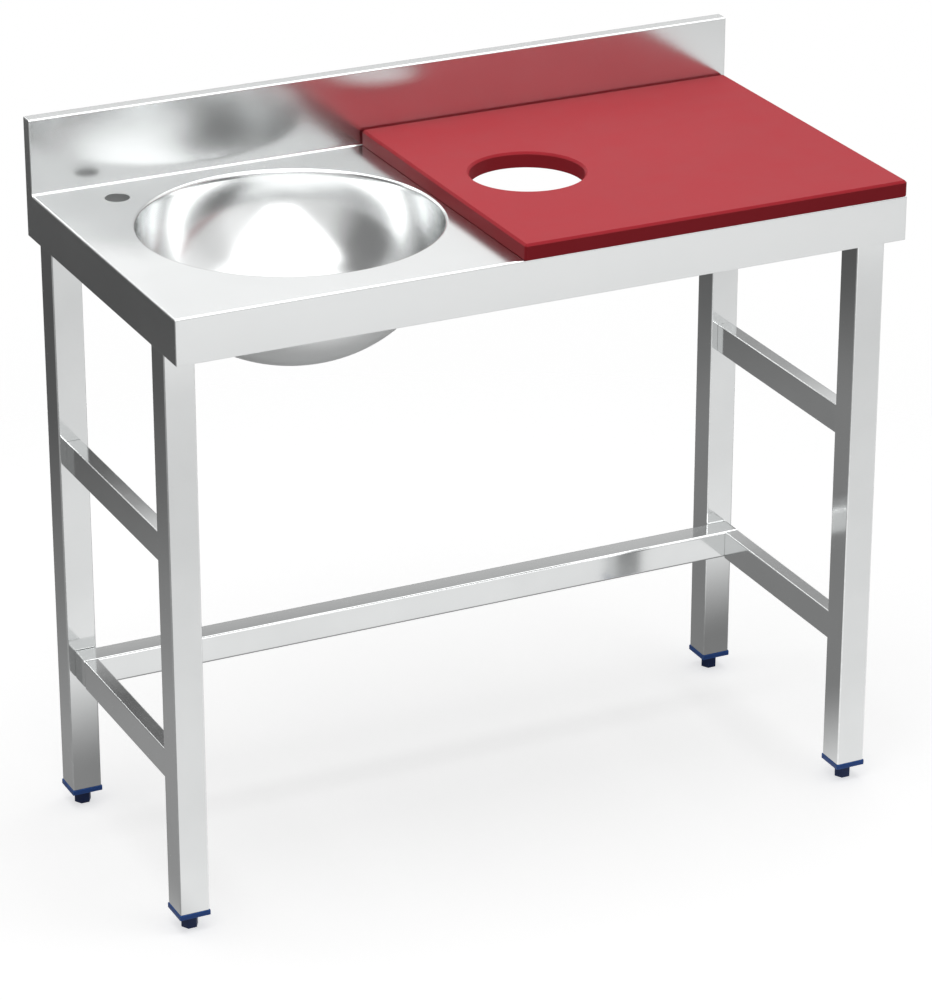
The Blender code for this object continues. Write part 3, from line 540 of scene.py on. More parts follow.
def steel_material(name, light, dark, smooth, rough, grain, grain_depth, outside_rough=None):
    """Satin stainless steel: drawn grain, cloudy polish, a slight change of tone, and paler edges that are
    partly rubbed bright and partly a painted highlight. The outside of a spun piece can be rougher than its
    inside."""
    material, tree, shader = new_material(name)
    fine = noise(tree, STEEL_GRAIN, grain, STEEL_GRAIN_DETAIL)
    clouds = noise(tree, STEEL_CLOUD)
    mixed = mix_values(tree, STEEL_CLOUD_SHARE, fine, clouds)
    worn_and_sheen = worn_and_sheen_edges(tree)
    colour = tint(tree, spread(tree, clouds, 0.0, 1.0), dark, light)
    roughness = spread(tree, mixed, smooth, rough)
    if outside_rough is not None:
        roughness = mix_values(tree, attribute(tree, "outside"), roughness, outside_rough)
    shader.inputs["Metallic"].default_value = 1.0
    tree.links.new(tint(tree, worn_and_sheen, colour, WORN_AND_SHEEN_STEEL), shader.inputs["Base Color"])
    tree.links.new(mix_values(tree, worn_and_sheen, roughness, WORN_STEEL_ROUGH), shader.inputs["Roughness"])
    bump(tree, shader, fine, grain_depth, STEEL_BUMP)
    return material


def plastic_material(name, light, dark, worn_and_sheen_colour, smooth, rough, grain_size, grain_depth, gloss):
    """Moulded or milled plastic: a fine grain, small changes of tone and paler, rougher edges, whose
    paleness is partly rubbed and partly a painted highlight.
    """
    material, tree, shader = new_material(name)
    fine = noise(tree, grain_size)
    clouds = noise(tree, PLASTIC_CLOUD, EVEN, PLASTIC_CLOUD_DETAIL)
    worn_and_sheen = worn_and_sheen_edges(tree)
    colour = tint(tree, spread(tree, clouds, 0.0, 1.0), dark, light)
    tree.links.new(tint(tree, worn_and_sheen, colour, worn_and_sheen_colour), shader.inputs["Base Color"])
    roughness = mix_values(tree, worn_and_sheen, spread(tree, clouds, smooth, rough), rough + WORN_PLASTIC_ROUGHER)
    tree.links.new(roughness, shader.inputs["Roughness"])
    shader.inputs["Specular IOR Level"].default_value = gloss
    bump(tree, shader, fine, grain_depth, PLASTIC_BUMP)
    return material


WORKTOP_STEEL = steel_material(
    "worktop_steel", light=(0.70, 0.71, 0.71), dark=(0.67, 0.68, 0.68),
    smooth=0.17, rough=0.21, grain=ALONG_X, grain_depth=0.000004)
BOWL_STEEL = steel_material(
    "bowl_steel", light=(0.71, 0.72, 0.72), dark=(0.69, 0.70, 0.70),
    smooth=0.17, rough=0.21, grain=EVEN, grain_depth=0.000004, outside_rough=0.42)
TUBE_STEEL = steel_material(
    "tube_steel", light=(0.70, 0.71, 0.71), dark=(0.66, 0.67, 0.67),
    smooth=0.09, rough=0.13, grain=ALONG_Z, grain_depth=0.000008)
ZINC_STEEL = steel_material(
    "zinc_steel", light=(0.60, 0.61, 0.63), dark=(0.50, 0.51, 0.53),
    smooth=0.22, rough=0.34, grain=EVEN, grain_depth=0.00002)
# Each plastic's paler edge colour is partly rubbed plastic and partly a painted highlight along the edges
RED_BOARD = plastic_material(
    "red_board", light=(0.440, 0.026, 0.038), dark=(0.425, 0.024, 0.035), worn_and_sheen_colour=(0.50, 0.06, 0.07),
    smooth=0.42, rough=0.47, grain_size=0.0014, grain_depth=0.00003, gloss=0.10)
BLUE_PLASTIC = plastic_material(
    "blue_plastic", light=(0.036, 0.125, 0.470), dark=(0.031, 0.110, 0.430), worn_and_sheen_colour=(0.07, 0.18, 0.52),
    smooth=0.36, rough=0.46, grain_size=0.0010, grain_depth=0.00002, gloss=0.25)
NAVY_PLASTIC = plastic_material(
    "navy_plastic", light=(0.014, 0.034, 0.130), dark=(0.012, 0.030, 0.115), worn_and_sheen_colour=(0.04, 0.06, 0.17),
    smooth=0.38, rough=0.48, grain_size=0.0010, grain_depth=0.00002, gloss=0.25)
BLACK_PLASTIC = plastic_material(
    "black_plastic", light=(0.022, 0.022, 0.024), dark=(0.016, 0.016, 0.018), worn_and_sheen_colour=(0.05, 0.05, 0.05),
    smooth=0.40, rough=0.52, grain_size=0.0010, grain_depth=0.00002, gloss=0.5)
BLACK_RUBBER = plastic_material(
    "black_rubber", light=(0.022, 0.022, 0.022), dark=(0.016, 0.016, 0.016), worn_and_sheen_colour=(0.04, 0.04, 0.04),
    smooth=0.65, rough=0.80, grain_size=0.0010, grain_depth=0.00002, gloss=0.5)
SLOT_MATERIALS = {
    material["slot"]: material for material in (
        WORKTOP_STEEL, BOWL_STEEL, TUBE_STEEL, ZINC_STEEL, RED_BOARD,
        BLUE_PLASTIC, NAVY_PLASTIC, BLACK_PLASTIC, BLACK_RUBBER,
    )
}

# Places that follow from the frame
WORKTOP_LOW, WORKTOP_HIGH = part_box("worktop")
HALF_LENGTH = WORKTOP_HIGH.x
HALF_DEPTH = WORKTOP_HIGH.y
TOP = WORKTOP_HIGH.z - UPSTAND_HEIGHT
BOTTOM = WORKTOP_LOW.z
FACE_Y = HALF_DEPTH - UPSTAND_DEPTH
COVE_Y = FACE_Y - COVE_RADIUS
BEND_TOP = TOP - BEND_RADIUS
FLAT_X = HALF_LENGTH - BEND_RADIUS - SUPPORT
BOWL_LOW, BOWL_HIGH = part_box("bowl")
BOWL_CENTRE = ((BOWL_LOW.x + BOWL_HIGH.x) / 2, (BOWL_LOW.y + BOWL_HIGH.y) / 2)
BOWL_RADIUS = (BOWL_HIGH.x - BOWL_LOW.x) / 2 - BOWL_WALL
OPENING_RADIUS = OPENING_DIAMETER / 2
RIM_STRAIGHT = RIM_DROP - RIM_ROUNDING * (1.0 - math.sin(RIM_SLOPE))
RIM_RUN = RIM_ROUNDING * math.cos(RIM_SLOPE) + RIM_STRAIGHT * math.tan(RIM_SLOPE)
COLLAR_RADIUS = OPENING_RADIUS - RIM_RUN
BOARD_LOW, BOARD_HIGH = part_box("cutting_board")
CHUTE_CENTRE = (BOARD_LOW.x + CHUTE_FROM_BOARD_END, (BOARD_LOW.y + BOARD_HIGH.y) / 2)


def worktop_ring(inset):
    """The worktop's outline drawn in by an inset, from the left side's cove point round by the
    front to the right side's cove point, and on round the rear."""
    sharp = max(CORNER_RADIUS, inset)
    rounding = sharp - inset
    side = HALF_LENGTH - inset
    x = HALF_LENGTH - sharp
    y = HALF_DEPTH - sharp
    rear = HALF_DEPTH - inset
    step = rounding + SUPPORT
    bend_x = HALF_LENGTH - BEND_RADIUS
    return np.concatenate([
        [[-side, COVE_Y]],
        [[-side, -rear + step]], arc((-x, -y), rounding, 180, 270), [[-side + step, -rear]],
        [[side - step, -rear]], arc((x, -y), rounding, 270, 360), [[side, -rear + step]],
        [[side, COVE_Y]],
        [[side, rear - step]], arc((x, y), rounding, 0, 90), [[side - step, rear]],
        [[bend_x, rear], [FLAT_X, rear], [-FLAT_X, rear], [-bend_x, rear]],
        [[-side + step, rear]], arc((-x, y), rounding, 90, 180), [[-side, rear - step]],
    ])


def level_ring(inset, height):
    """The worktop's outline at one height."""
    ring = worktop_ring(inset)
    return np.column_stack([ring, np.full(len(ring), height)])


def upstand_profile(inset):
    """Side view of cove, face, crest and back as (y, z), drawn into the sheet by an inset."""
    crest = WORKTOP_HIGH.z
    cove = arc((COVE_Y, TOP + COVE_RADIUS), COVE_RADIUS + inset, 270, 360)
    front = arc((FACE_Y + CREST_RADIUS, crest - CREST_RADIUS), CREST_RADIUS - inset, 180, 90)
    rear = arc((HALF_DEPTH - CREST_RADIUS, crest - CREST_RADIUS), CREST_RADIUS - inset, 90, 0)
    return np.concatenate([
        cove, cove[-1:] + [[0.0, SUPPORT]],
        front[:1] - [[0.0, SUPPORT]], front, front[-1:] + [[SUPPORT, 0.0]],
        rear[:1] - [[SUPPORT, 0.0]], rear, rear[-1:] - [[0.0, SUPPORT]],
        [[HALF_DEPTH - inset, BEND_TOP]],
    ])


def upstand_stations():
    """Places along X with the inset that rounds the upstand's end, for the right half."""
    angle = np.radians(np.linspace(0.0, 90.0, ROUND_STEPS + 1))
    x = HALF_LENGTH - CORNER_RADIUS + CORNER_RADIUS * np.sin(angle)
    inset = CORNER_RADIUS * (1.0 - np.cos(angle))
    flat = [(FLAT_X, 0.0), (HALF_LENGTH - BEND_RADIUS, 0.0)]
    flat.append((HALF_LENGTH - CORNER_RADIUS - SUPPORT, 0.0))
    return flat + list(zip(x, inset)) + [(HALF_LENGTH, CORNER_RADIUS + SUPPORT)]


def make_worktop():
    """The folded sheet: hemmed skirt, rounded top bends, flat top with three holes, and a cove that
    runs up into the upstand. Its outer skin is computed, and Solidify gives it its thickness."""
    fold = arc((BOTTOM + HEM_THICKNESS / 2, HEM_THICKNESS / 2), HEM_THICKNESS / 2, 90, 270, HEM_STEPS)
    skirt = np.concatenate([
        [[BOTTOM + HEM_HEIGHT, HEM_THICKNESS], [fold[0][0] + SUPPORT, HEM_THICKNESS]], fold,
        [[fold[-1][0] + SUPPORT, 0.0], [BEND_TOP - SUPPORT, 0.0], [BEND_TOP, 0.0]],
    ])
    rows = np.array([level_ring(inset, height) for height, inset in skirt])
    patches = [grid_patch(rows, loop_columns=True)]

    # The bend runs from the left cove point to the right one: two corners, and the two end points
    corner_points = ROUND_STEPS + 3
    bend_points = 2 * corner_points + 2
    bend = arc((BEND_RADIUS, BEND_TOP), BEND_RADIUS, 180, 90)
    bend = np.concatenate([bend, [[BEND_RADIUS + SUPPORT, TOP]]])
    rows = np.array([level_ring(inset, height)[:bend_points] for inset, height in bend])
    patches.append(grid_patch(rows))

    rim_centre = (OPENING_RADIUS, TOP - RIM_ROUNDING)
    roll = np.concatenate([
        [[OPENING_RADIUS + SUPPORT, TOP]],
        arc(rim_centre, RIM_ROUNDING, 90, 180 - math.degrees(RIM_SLOPE)),
        [[COLLAR_RADIUS, TOP - RIM_DROP]],
    ])
    patches.append(turned_patch(roll, BOWL_CENTRE, BIG_CIRCLE))
    tap_centre = (TAP_HOLE_FROM_LEFT_END - HALF_LENGTH, HALF_DEPTH - TAP_HOLE_FROM_REAR)
    patches.append(flat_patch([
        rows[-1],
        circle(BOWL_CENTRE, OPENING_RADIUS + SUPPORT, TOP, BIG_CIRCLE),
        circle(tap_centre, TAP_HOLE_DIAMETER / 2, TOP, SMALL_CIRCLE),
        circle(CHUTE_CENTRE, BOARD_HOLE_DIAMETER / 2 + CHUTE_CLEARANCE, TOP, BIG_CIRCLE),
    ]))

    stations = upstand_stations()
    for side in (-1, 1):
        columns = []
        for x, inset in stations:
            profile = upstand_profile(inset)
            columns.append(np.column_stack([np.full(len(profile), side * x), profile]))
        patches.append(grid_patch(np.array(columns)))
        last = columns[-1]
        corner = np.array([side * HALF_LENGTH, COVE_Y, BEND_TOP])
        patches.append(face_patch([*last, corner]))
        arc_end = np.array([
            (side * (HALF_LENGTH - inset), COVE_Y, height) for inset, height in bend[:-1]
        ])
        rim = np.array([column[0] for column in columns[2:]])
        patches.append(face_patch([*arc_end, *rim]))
    profile = upstand_profile(0.0)
    straight = np.array([
        np.column_stack([np.full(len(profile), x), profile]) for x in (-FLAT_X, FLAT_X)
    ])
    patches.append(grid_patch(straight))
    worktop = build(
        "worktop", patches, WORKTOP_STEEL, "frame",
        ["worktop", "upstand_cap_left", "upstand_cap_right"], facing=Vector((0, 0, 1)),
    )
    thickness = worktop.modifiers.new("sheet", "SOLIDIFY")
    thickness.thickness = SHEET
    thickness.offset = -1.0
    thickness.use_even_offset = True


def make_bowl():
    """The spun bowl: a half ellipse, radius by cosine and depth by sine of one angle, turned about
    the drain, with a pressed recess and a waste hole. Corners whose normals point away from the
    middle of its mouth are marked as outside."""
    top = BOWL_HIGH.z
    recess = RECESS_DIAMETER / 2
    drain = WASTE_HOLE_DIAMETER / 2
    walls = []
    for wall in (0.0, BOWL_WALL):
        radius = BOWL_RADIUS + wall
        depth = top - BOWL_LOW.z - BOWL_WALL + wall
        floor = top - depth
        edge = recess + wall
        angle = np.linspace(0.0, math.acos(edge / radius), BOWL_RINGS)
        wall_points = np.stack([radius * np.cos(angle), top - depth * np.sin(angle)], axis=-1)
        lip = wall_points[-1]
        foot = np.array([edge - RECESS_DRAFT, floor])
        rounded_lip = fillet(wall_points[-3], lip, foot, RECESS_FILLET)
        rounded_foot = fillet(lip, foot, (drain, floor), RECESS_FILLET)
        outside = wall_points[wall_points[:, 0] > rounded_lip[0][0] + SUPPORT]
        walls.append(np.concatenate([outside, rounded_lip, rounded_foot, [[drain, floor]]]))
    profile = np.concatenate([walls[0], walls[1][::-1]])
    patch = turned_patch(profile, BOWL_CENTRE, BIG_CIRCLE, loop_rows=True)
    bowl = build("bowl", [patch], BOWL_STEEL, "frame", ["bowl"])
    places = read_array(bowl.data.vertices, "co", 3) - np.array((*BOWL_CENTRE, top))
    facing = np.sum(places * read_array(bowl.data.vertices, "normal", 3), axis=1)
    write_attribute(bowl.data, "outside", (facing > 0.0).astype(float))


def make_waste_flange():
    """The strainer flange: a low disc with nine holes over a short tail."""
    low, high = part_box("waste_flange")
    centre = ((low.x + high.x) / 2, (low.y + high.y) / 2)
    rim = (high.x - low.x) / 2
    seat = high.z - FLANGE_THICKNESS
    tail = TAIL_DIAMETER / 2
    bore = tail - TAIL_WALL
    edge = arc((rim - FLANGE_EDGE, high.z - FLANGE_EDGE), FLANGE_EDGE, 90, 0)
    outer = np.concatenate([
        [[rim - FLANGE_EDGE - SUPPORT, high.z]], edge, [[rim, seat], [tail, seat]],
        [[tail, low.z], [bore, low.z], [bore, seat]],
    ])
    patches = [turned_patch(outer, centre, SMALL_CIRCLE)]
    angle = np.linspace(0.0, math.tau, STRAINER_HOLES, endpoint=False)
    reach = STRAINER_RING_DIAMETER / 2
    spots = [(centre[0] + reach * math.cos(turn), centre[1] + reach * math.sin(turn)) for turn in angle]
    spots.append(centre)
    hole = STRAINER_HOLE_DIAMETER / 2
    upper = [circle(spot, hole, high.z, STRAINER_CIRCLE) for spot in spots]
    lower = [circle(spot, hole, seat, STRAINER_CIRCLE) for spot in spots]
    patches.append(flat_patch([circle(centre, rim - FLANGE_EDGE - SUPPORT, high.z, SMALL_CIRCLE), *upper]))
    patches.append(flat_patch([circle(centre, bore, seat, SMALL_CIRCLE), *lower]))
    for above, below in zip(upper, lower):
        patches.append(grid_patch(np.array([above, below]), loop_columns=True))
    build("waste_flange", patches, BOWL_STEEL, "frame", ["waste_flange"])


def board_ring(inset):
    """The board's outline drawn in by an inset: a rectangle with corner cuts that run out where the
    inset is as large as the chamfer."""
    half_x = (BOARD_HIGH.x - BOARD_LOW.x) / 2 - inset
    half_y = (BOARD_HIGH.y - BOARD_LOW.y) / 2 - inset
    cut = max(BOARD_CHAMFER - inset, BOARD_BREAK)
    sharp = []
    for u, v in ((1, 1), (-1, 1), (-1, -1), (1, -1)):
        pair = [(u * half_x, v * (half_y - cut)), (u * (half_x - cut), v * half_y)]
        sharp.extend(pair if u * v > 0 else pair[::-1])
    points = []
    for index, corner in enumerate(sharp):
        following = sharp[(index + 1) % len(sharp)]
        points.append(fillet(sharp[index - 1], corner, following, BOARD_BREAK, EDGE_STEPS))
    ring = np.concatenate(points)
    centre = [(BOARD_HIGH.x + BOARD_LOW.x) / 2, (BOARD_HIGH.y + BOARD_LOW.y) / 2]
    return ring + centre


def make_board():
    """The cutting board: edges chamfered and softly broken, and a chamfered hole over the chute."""
    low = BOARD_LOW.z
    high = BOARD_HIGH.z
    under = BOARD_UNDER_CHAMFER
    chamfer = BOARD_CHAMFER
    shoulder = fillet((0.0, low), (0.0, high - chamfer), (chamfer, high), BOARD_BREAK, EDGE_STEPS)
    crown = fillet((0.0, high - chamfer), (chamfer, high), (2 * chamfer, high), BOARD_BREAK, EDGE_STEPS)
    profile = [[low, under + SUPPORT], [low, under]]
    profile += [[low + under, 0.0], [low + under + SUPPORT, 0.0], [shoulder[0][1] - SUPPORT, 0.0]]
    profile += [[height, inset] for inset, height in shoulder]
    profile += [[height, inset] for inset, height in crown]
    profile.append([high, crown[-1][0] + SUPPORT])
    rows = []
    for height, inset in profile:
        ring = board_ring(inset)
        rows.append(np.column_stack([ring, np.full(len(ring), height)]))
    patches = [grid_patch(np.array(rows), loop_columns=True)]

    bore = BOARD_HOLE_DIAMETER / 2
    hole = [[bore + inset, height] for height, inset in profile[::-1]]
    patches.append(turned_patch(hole, CHUTE_CENTRE, BIG_CIRCLE))
    for row, level in ((rows[-1], profile[-1]), (rows[0], profile[0])):
        height, inset = level
        patches.append(flat_patch([row, circle(CHUTE_CENTRE, bore + inset, height, BIG_CIRCLE)]))
    build("cutting_board", patches, RED_BOARD, "board", ["cutting_board"], sharp=BOARD_SHARP_ANGLE)


def insert_profile(bottom, top, plug_top, half, core, fin):
    """Side view of an insert as (height, half width): plate, then a plug with gripping fins."""
    edge = INSERT_EDGE
    profile = [[bottom, half - edge - SUPPORT]]
    lower = arc((half - edge, bottom + edge), edge, 270, 360, INSERT_STEPS)
    upper = arc((half - edge, top - edge), edge, 0, 90, INSERT_STEPS)
    profile += [[height, width] for width, height in [*lower, *upper]]
    profile += [[top, core + SUPPORT], [top, core]]
    pitch = (plug_top - top) / INSERT_FINS
    for number in range(INSERT_FINS):
        end = top + pitch * (number + 1)
        profile += [
            [end - FIN_FALL * pitch, core], [end - FIN_CREST * pitch, fin], [end - FIN_RISE * pitch, fin],
        ]
        profile.append([end, core])
    return profile


def make_insert(which):
    """The square insert of one leg: a rounded plate, its finned plug and the bore for the stud."""
    node = f"foot_insert_{which}"
    low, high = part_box(node)
    leg_low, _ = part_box(f"leg_{which}")
    centre = np.array([(low.x + high.x) / 2, (low.y + high.y) / 2])
    half = (high.x - low.x) / 2
    fin = half - INSERT_OVERHANG - LEG_WALL - RUNNING_GAP
    core = fin - INSERT_FIN_DEPTH
    profile = insert_profile(low.z, leg_low.z - RUNNING_GAP, high.z, half, core, fin)
    rows = []
    for height, width in profile:
        ring = corner_ring(half, half, INSERT_CORNER, 0.0) * (width / half) + centre
        rows.append(np.column_stack([ring, np.full(len(ring), height)]))
    patches = [grid_patch(np.array(rows), loop_columns=True)]
    bore = STUD_DIAMETER / 2 + RUNNING_GAP
    patches.append(turned_patch([[bore, low.z], [bore, high.z]], centre, TINY_CIRCLE))
    for row, height in ((rows[0], low.z), (rows[-1], high.z)):
        patches.append(flat_patch([row, circle(centre, bore, height, TINY_CIRCLE)]))
    build(node, patches, BLUE_PLASTIC, "frame", [node])


def hexagon_ring(flat, inset):
    """A hexagon with two corners on the X axis, drawn in by an inset: its corners reach out as far as
    half its width over flats, less the inset, over the cosine of 30 degrees, and are rounded."""
    reach = (flat - inset) / math.cos(math.pi / 6)
    corners = [(reach * math.cos(turn), reach * math.sin(turn)) for turn in np.arange(6) * math.tau / 6]
    rounded = []
    for index, corner in enumerate(corners):
        following = corners[(index + 1) % 6]
        rounded.append(fillet(corners[index - 1], corner, following, HEXAGON_ROUNDING, EDGE_STEPS))
    return np.concatenate(rounded)


def make_foot(which):
    """The hexagonal foot of one leg, with chamfered ends and the socket that holds the stud."""
    node = f"foot_{which}"
    low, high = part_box(node)
    centre = np.array([(low.x + high.x) / 2, (low.y + high.y) / 2])
    flat = (high.y - low.y) / 2
    cut = FOOT_CHAMFER
    part = FOOT_CHAMFER_BREAK * cut
    levels = [
        (low.z, cut + SUPPORT), (low.z, cut), (low.z + part, part), (low.z + cut, 0.0),
        (low.z + cut + SUPPORT, 0.0), (high.z - cut / 2 - SUPPORT, 0.0), (high.z - cut / 2, 0.0),
        (high.z, cut / 2), (high.z, cut / 2 + SUPPORT),
    ]
    rows = []
    for height, inset in levels:
        ring = hexagon_ring(flat, inset) + centre
        rows.append(np.column_stack([ring, np.full(len(ring), height)]))
    patches = [grid_patch(np.array(rows), loop_columns=True), face_patch(rows[0])]
    socket = STUD_DIAMETER / 2 + RUNNING_GAP
    patches.append(flat_patch([rows[-1], circle(centre, socket, high.z, TINY_CIRCLE)]))
    floor = high.z - FOOT_SOCKET_DEPTH
    patches.append(turned_patch([[socket, high.z], [socket, floor], [0.0, floor]], centre, TINY_CIRCLE))
    build(node, patches, NAVY_PLASTIC, node, [node])


def make_stud(which):
    """The threaded stud: its radius falls and rises once a pitch along a helix, and runs out flat
    at both ends."""
    node = f"foot_stud_{which}"
    low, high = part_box(node)
    centre = ((low.x + high.x) / 2, (low.y + high.y) / 2)
    steps = int((high.z - low.z) / THREAD_PITCH * STUD_ROWS_PER_TURN)
    angle = np.linspace(0.0, math.tau, STUD_SIDES, endpoint=False)[None, :]
    height = np.linspace(low.z, high.z, steps)[:, None]
    turn = (height / THREAD_PITCH - angle / math.tau) % 1.0
    ends = np.clip(np.minimum(height - low.z, high.z - height) / THREAD_PITCH, 0.0, 1.0)
    crest = np.clip(THREAD_CREST_SLOPE * np.abs(2.0 * turn - 1.0) - THREAD_ROOT_FLAT, 0.0, 1.0)
    radius = STUD_DIAMETER / 2 - THREAD_DEPTH * (1.0 - crest * ends)
    points = np.stack([
        centre[0] + radius * np.cos(angle),
        centre[1] + radius * np.sin(angle),
        np.repeat(height, STUD_SIDES, axis=1),
    ], axis=-1)
    patches = [grid_patch(points, loop_columns=True), face_patch(points[0]), face_patch(points[-1])]
    build(node, patches, ZINC_STEEL, f"stud_{which}", [node], sharp=STUD_SHARP_ANGLE)


def finish_cad_nodes():
    """Give the CAD nodes that still show the material of their slot in the record."""
    for part in frame["record"]["subparts"]:
        node = frame["nodes"][part["node"]]
        material = SLOT_MATERIALS[part["material_slot"]]
        node.data.materials.clear()
        node.data.materials.append(material)


def smooth_step(tree, value, edges):
    """Rise smoothly from 0 to 1 while a value goes from the first edge to the second."""
    node = tree.nodes.new("ShaderNodeMapRange")
    node.interpolation_type = "SMOOTHSTEP"
    low, high = sorted(edges)
    node.inputs["From Min"].default_value = low
    node.inputs["From Max"].default_value = high
    node.inputs["To Min"].default_value = 0.0 if edges[0] < edges[1] else 1.0
    node.inputs["To Max"].default_value = 1.0 if edges[0] < edges[1] else 0.0
    tree.links.new(value, node.inputs["Value"])
    return node.outputs["Result"]


def tone_ramp(tree, value, stops):
    """The tone at a value, read from a ramp of (value, tone) pairs. A ramp's colours end at 1, so
    each tone is stored as a share of the highest one."""
    first = stops[0][0]
    length = stops[-1][0] - first
    highest = max(tone for _, tone in stops)
    share = math_value(tree, "MULTIPLY_ADD", value, 1.0 / length, -first / length)
    ramp = tree.nodes.new("ShaderNodeValToRGB")
    elements = ramp.color_ramp.elements
    elements[0].position = 0.0
    elements[1].position = 1.0
    for element, tone in ((elements[0], stops[0][1]), (elements[1], stops[-1][1])):
        element.color = (tone / highest, tone / highest, tone / highest, 1.0)
    for place, tone in stops[1:-1]:
        element = elements.new((place - first) / length)
        element.color = (tone / highest, tone / highest, tone / highest, 1.0)
    tree.links.new(share, ramp.inputs["Fac"])
    return math_value(tree, "MULTIPLY", ramp.outputs["Color"], highest)


def emission(tree, strength):
    """A white glow with a strength that is a number or an output."""
    node = tree.nodes.new("ShaderNodeEmission")
    feed(tree, node.inputs["Strength"], strength)
    return node.outputs["Emission"]


def mix_shaders(tree, factor, first, second):
    """Mix two shaders by a factor."""
    node = tree.nodes.new("ShaderNodeMixShader")
    for socket, value in zip(node.inputs, (factor, first, second)):
        tree.links.new(value, socket)
    return node.outputs["Shader"]


def stage_piece(name, points, shade):
    """A flat stage piece with a material whose surface is what shade returns for its tree."""
    mesh = bpy.data.meshes.new(name)
    mesh.from_pydata([tuple(point) for point in points], [], [list(range(len(points)))])
    material = bpy.data.materials.new(name)
    material.use_nodes = True
    tree = material.node_tree
    tree.nodes.clear()
    place = tree.nodes.new("ShaderNodeTexCoord").outputs["Object"]
    out = tree.nodes.new("ShaderNodeOutputMaterial")
    tree.links.new(shade(tree, place), out.inputs["Surface"])
    mesh.materials.append(material)
    placed = bpy.data.objects.new(name, mesh)
    placed.visible_diffuse = False
    bpy.context.scene.collection.objects.link(placed)
    return placed


def separate(tree, place):
    """The X, Y and Z outputs of a vector."""
    parts = tree.nodes.new("ShaderNodeSeparateXYZ")
    tree.links.new(place, parts.inputs["Vector"])
    return parts.outputs["X"], parts.outputs["Y"], parts.outputs["Z"]


def floor_shade(tree, place):
    """White with a soft shadow for the camera, and clear from below. For steel, a glowing floor with a
    painted pool of light at the front and a painted shadow of the table behind it and to the left."""
    x, y, _ = separate(tree, place)
    # Painted tones that only the steel mirrors: a painted shadow of the table behind it, darker under it,
    # and a painted pool of light in front
    rear = mix_values(
        tree, smooth_step(tree, x, REAR_SIDES),
        tone_ramp(tree, y, FLOOR_SHADOW_REAR_LEFT), tone_ramp(tree, y, FLOOR_SHADOW_REAR_RIGHT),
    )
    painted_light_share = math_value(
        tree, "MULTIPLY", smooth_step(tree, y, FRONT_EDGE), smooth_step(tree, x, FRONT_LEFT_EDGE))
    mirrored = emission(tree, mix_values(tree, painted_light_share, rear, tone_ramp(tree, y, FLOOR_LIGHT_POOL_FRONT)))

    diffuse = tree.nodes.new("ShaderNodeBsdfDiffuse")
    feed(tree, diffuse.inputs["Color"], (FLOOR_COLOUR, FLOOR_COLOUR, FLOOR_COLOUR))
    glowing = tree.nodes.new("ShaderNodeAddShader")
    tree.links.new(diffuse.outputs["BSDF"], glowing.inputs[0])
    tree.links.new(emission(tree, FLOOR_GLOW), glowing.inputs[1])
    distance = tree.nodes.new("ShaderNodeVectorMath")
    distance.operation = "LENGTH"
    tree.links.new(place, distance.inputs[0])
    clear = tree.nodes.new("ShaderNodeBsdfTransparent")
    below = tree.nodes.new("ShaderNodeNewGeometry").outputs["Backfacing"]
    fade = math_value(tree, "MAXIMUM", smooth_step(tree, distance.outputs["Value"], FLOOR_FADE), below)
    faded = mix_shaders(tree, fade, glowing.outputs["Shader"], clear.outputs["BSDF"])
    path = tree.nodes.new("ShaderNodeLightPath")
    return mix_shaders(tree, path.outputs["Is Glossy Ray"], faded, mirrored)


def backdrop_shade(tree, place):
    """A backdrop whose tone changes with its height, a little brighter low down on its right."""
    x, _, z = separate(tree, place)
    tone = mix_values(
        tree, smooth_step(tree, x, BACKDROP_SIDES),
        tone_ramp(tree, z, BACKDROP_LEFT), tone_ramp(tree, z, BACKDROP_RIGHT),
    )
    return emission(tree, tone)


def make_stage():
    """The floor, and the backdrop that only reflections see."""
    stage_piece("floor", circle((0.0, 0.0), FLOOR_RADIUS, -FLOOR_SINK, FLOOR_SIDES), floor_shade)
    side = BACKDROP_HALF_WIDTH
    high = BACKDROP_HEIGHT
    outline = [(-side, 0.0), (side, 0.0), (side, high), (-side, high)]
    backdrop = stage_piece("backdrop", [(x, BACKDROP_Y, z) for x, z in outline], backdrop_shade)
    backdrop.visible_camera = False
    backdrop.visible_shadow = False
    backdrop.visible_transmission = False


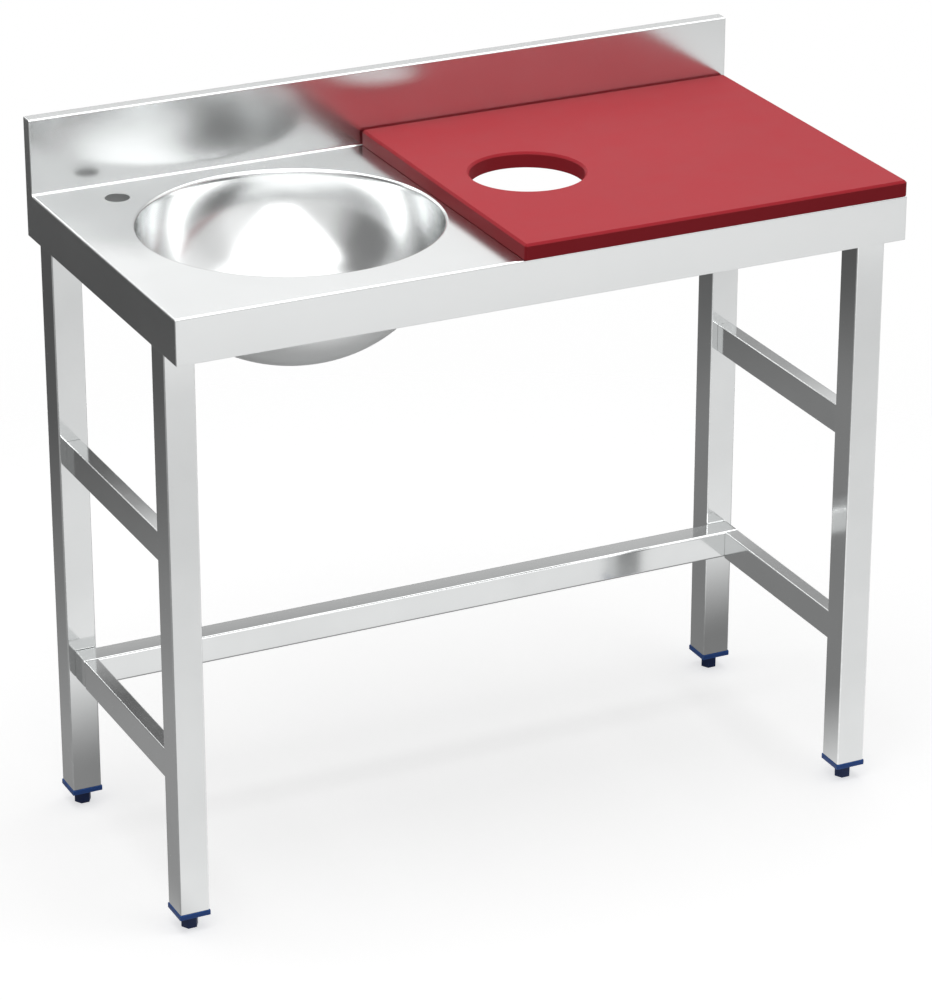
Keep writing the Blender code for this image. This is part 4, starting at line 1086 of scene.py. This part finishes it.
def make_room():
    """White ground for the camera, an even light for matt surfaces, and for reflections a room with
    walls of different tones, a long strip light that runs to the front and a panel overhead. The
    strip's width is told by how far sideways a direction goes while it rises."""
    world = bpy.data.worlds.new("studio")
    bpy.context.scene.world = world
    world.use_nodes = True
    world.cycles.sampling_method = "NONE"
    tree = world.node_tree
    tree.nodes.clear()
    way = tree.nodes.new("ShaderNodeTexCoord").outputs["Generated"]
    x, y, z = separate(tree, way)
    azimuth = math_value(tree, "MULTIPLY", math_value(tree, "ARCTAN2", x, y), 180.0 / math.pi)
    room = mix_values(tree, smooth_step(tree, z, HORIZON), GROUND_TONE, tone_ramp(tree, azimuth, WALL_TONES))

    along = math_value(tree, "MULTIPLY", x, math.sin(STRIP_AZIMUTH))
    along = math_value(tree, "MULTIPLY_ADD", y, math.cos(STRIP_AZIMUTH), along)
    across = math_value(tree, "MULTIPLY", y, -math.sin(STRIP_AZIMUTH))
    across = math_value(tree, "MULTIPLY_ADD", x, math.cos(STRIP_AZIMUTH), across)
    across = math_value(tree, "ABSOLUTE", math_value(tree, "DIVIDE", across, z))
    along = math_value(tree, "DIVIDE", along, z)
    inside = smooth_step(tree, across, STRIP_SIDES)
    inside = math_value(tree, "MULTIPLY", inside, smooth_step(tree, z, STRIP_RISE))
    inside = math_value(tree, "MULTIPLY", inside, smooth_step(tree, along, STRIP_REAR))
    room = mix_values(tree, inside, room, STRIP_TONE)

    facing = tree.nodes.new("ShaderNodeVectorMath")
    facing.operation = "DOT_PRODUCT"
    facing.inputs[1].default_value = Vector(PANEL_AXIS).normalized()
    tree.links.new(way, facing.inputs[0])
    room = mix_values(tree, smooth_step(tree, facing.outputs["Value"], PANEL_EDGE), room, PANEL_TONE)

    path = tree.nodes.new("ShaderNodeLightPath")
    direct = math_value(tree, "LESS_THAN", path.outputs["Diffuse Depth"], MATT_BOUNCES)
    mirrored = math_value(tree, "MULTIPLY", path.outputs["Is Glossy Ray"], direct)
    seen = mix_values(tree, mirrored, AMBIENT, room)
    seen = mix_values(tree, path.outputs["Is Camera Ray"], seen, 1.0)
    ground = tree.nodes.new("ShaderNodeBackground")
    feed(tree, ground.inputs["Color"], (1.0, 1.0, 1.0))
    out = tree.nodes.new("ShaderNodeOutputWorld")
    tree.links.new(seen, ground.inputs["Strength"])
    tree.links.new(ground.outputs["Background"], out.inputs["Surface"])


def make_lamp():
    """A large soft lamp overhead, for the matt surfaces and for the shadow on the floor."""
    lamp = bpy.data.lights.new("overhead_softbox", "AREA")
    lamp.shape = "RECTANGLE"
    lamp.size, lamp.size_y = LAMP_SIZE
    lamp.energy = LAMP_POWER
    placed = bpy.data.objects.new("overhead_softbox", lamp)
    placed.location = LAMP_PLACE
    placed.visible_glossy = False
    placed.visible_camera = False
    bpy.context.scene.collection.objects.link(placed)


def make_camera():
    """The camera that the photograph was taken with, as solved from its straight edges."""
    data = bpy.data.cameras.new("camera")
    data.sensor_fit = "HORIZONTAL"
    data.sensor_width = SENSOR_WIDTH
    data.lens = FOCAL_PIXELS * SENSOR_WIDTH / PICTURE_WIDTH
    data.clip_end = CLIP_END
    camera = bpy.data.objects.new("camera", data)
    camera.location = CAMERA_PLACE
    camera.rotation_euler = (math.pi / 2 - CAMERA_PITCH, 0.0, -CAMERA_YAW)
    bpy.context.scene.collection.objects.link(camera)
    bpy.context.scene.camera = camera


bpy.context.scene.view_settings.view_transform = "Standard"
finish_cad_nodes()
make_worktop()
make_bowl()
make_waste_flange()
make_board()
for row in ("front", "rear"):
    for side in ("left", "right"):
        tube_piece(f"leg_{row}_{side}", "Z", LEG_RADIUS, LEG_WALL)
        make_insert(f"{row}_{side}")
        make_foot(f"{row}_{side}")
        make_stud(f"{row}_{side}")
for side in ("left", "right"):
    for level in ("upper", "lower"):
        tube_piece(f"{level}_rail_{side}", "Y", RAIL_RADIUS, LEG_WALL)
tube_piece("rear_rail", "X", REAR_RAIL_RADIUS, REAR_RAIL_WALL)
make_stage()
make_room()
make_lamp()
make_camera()
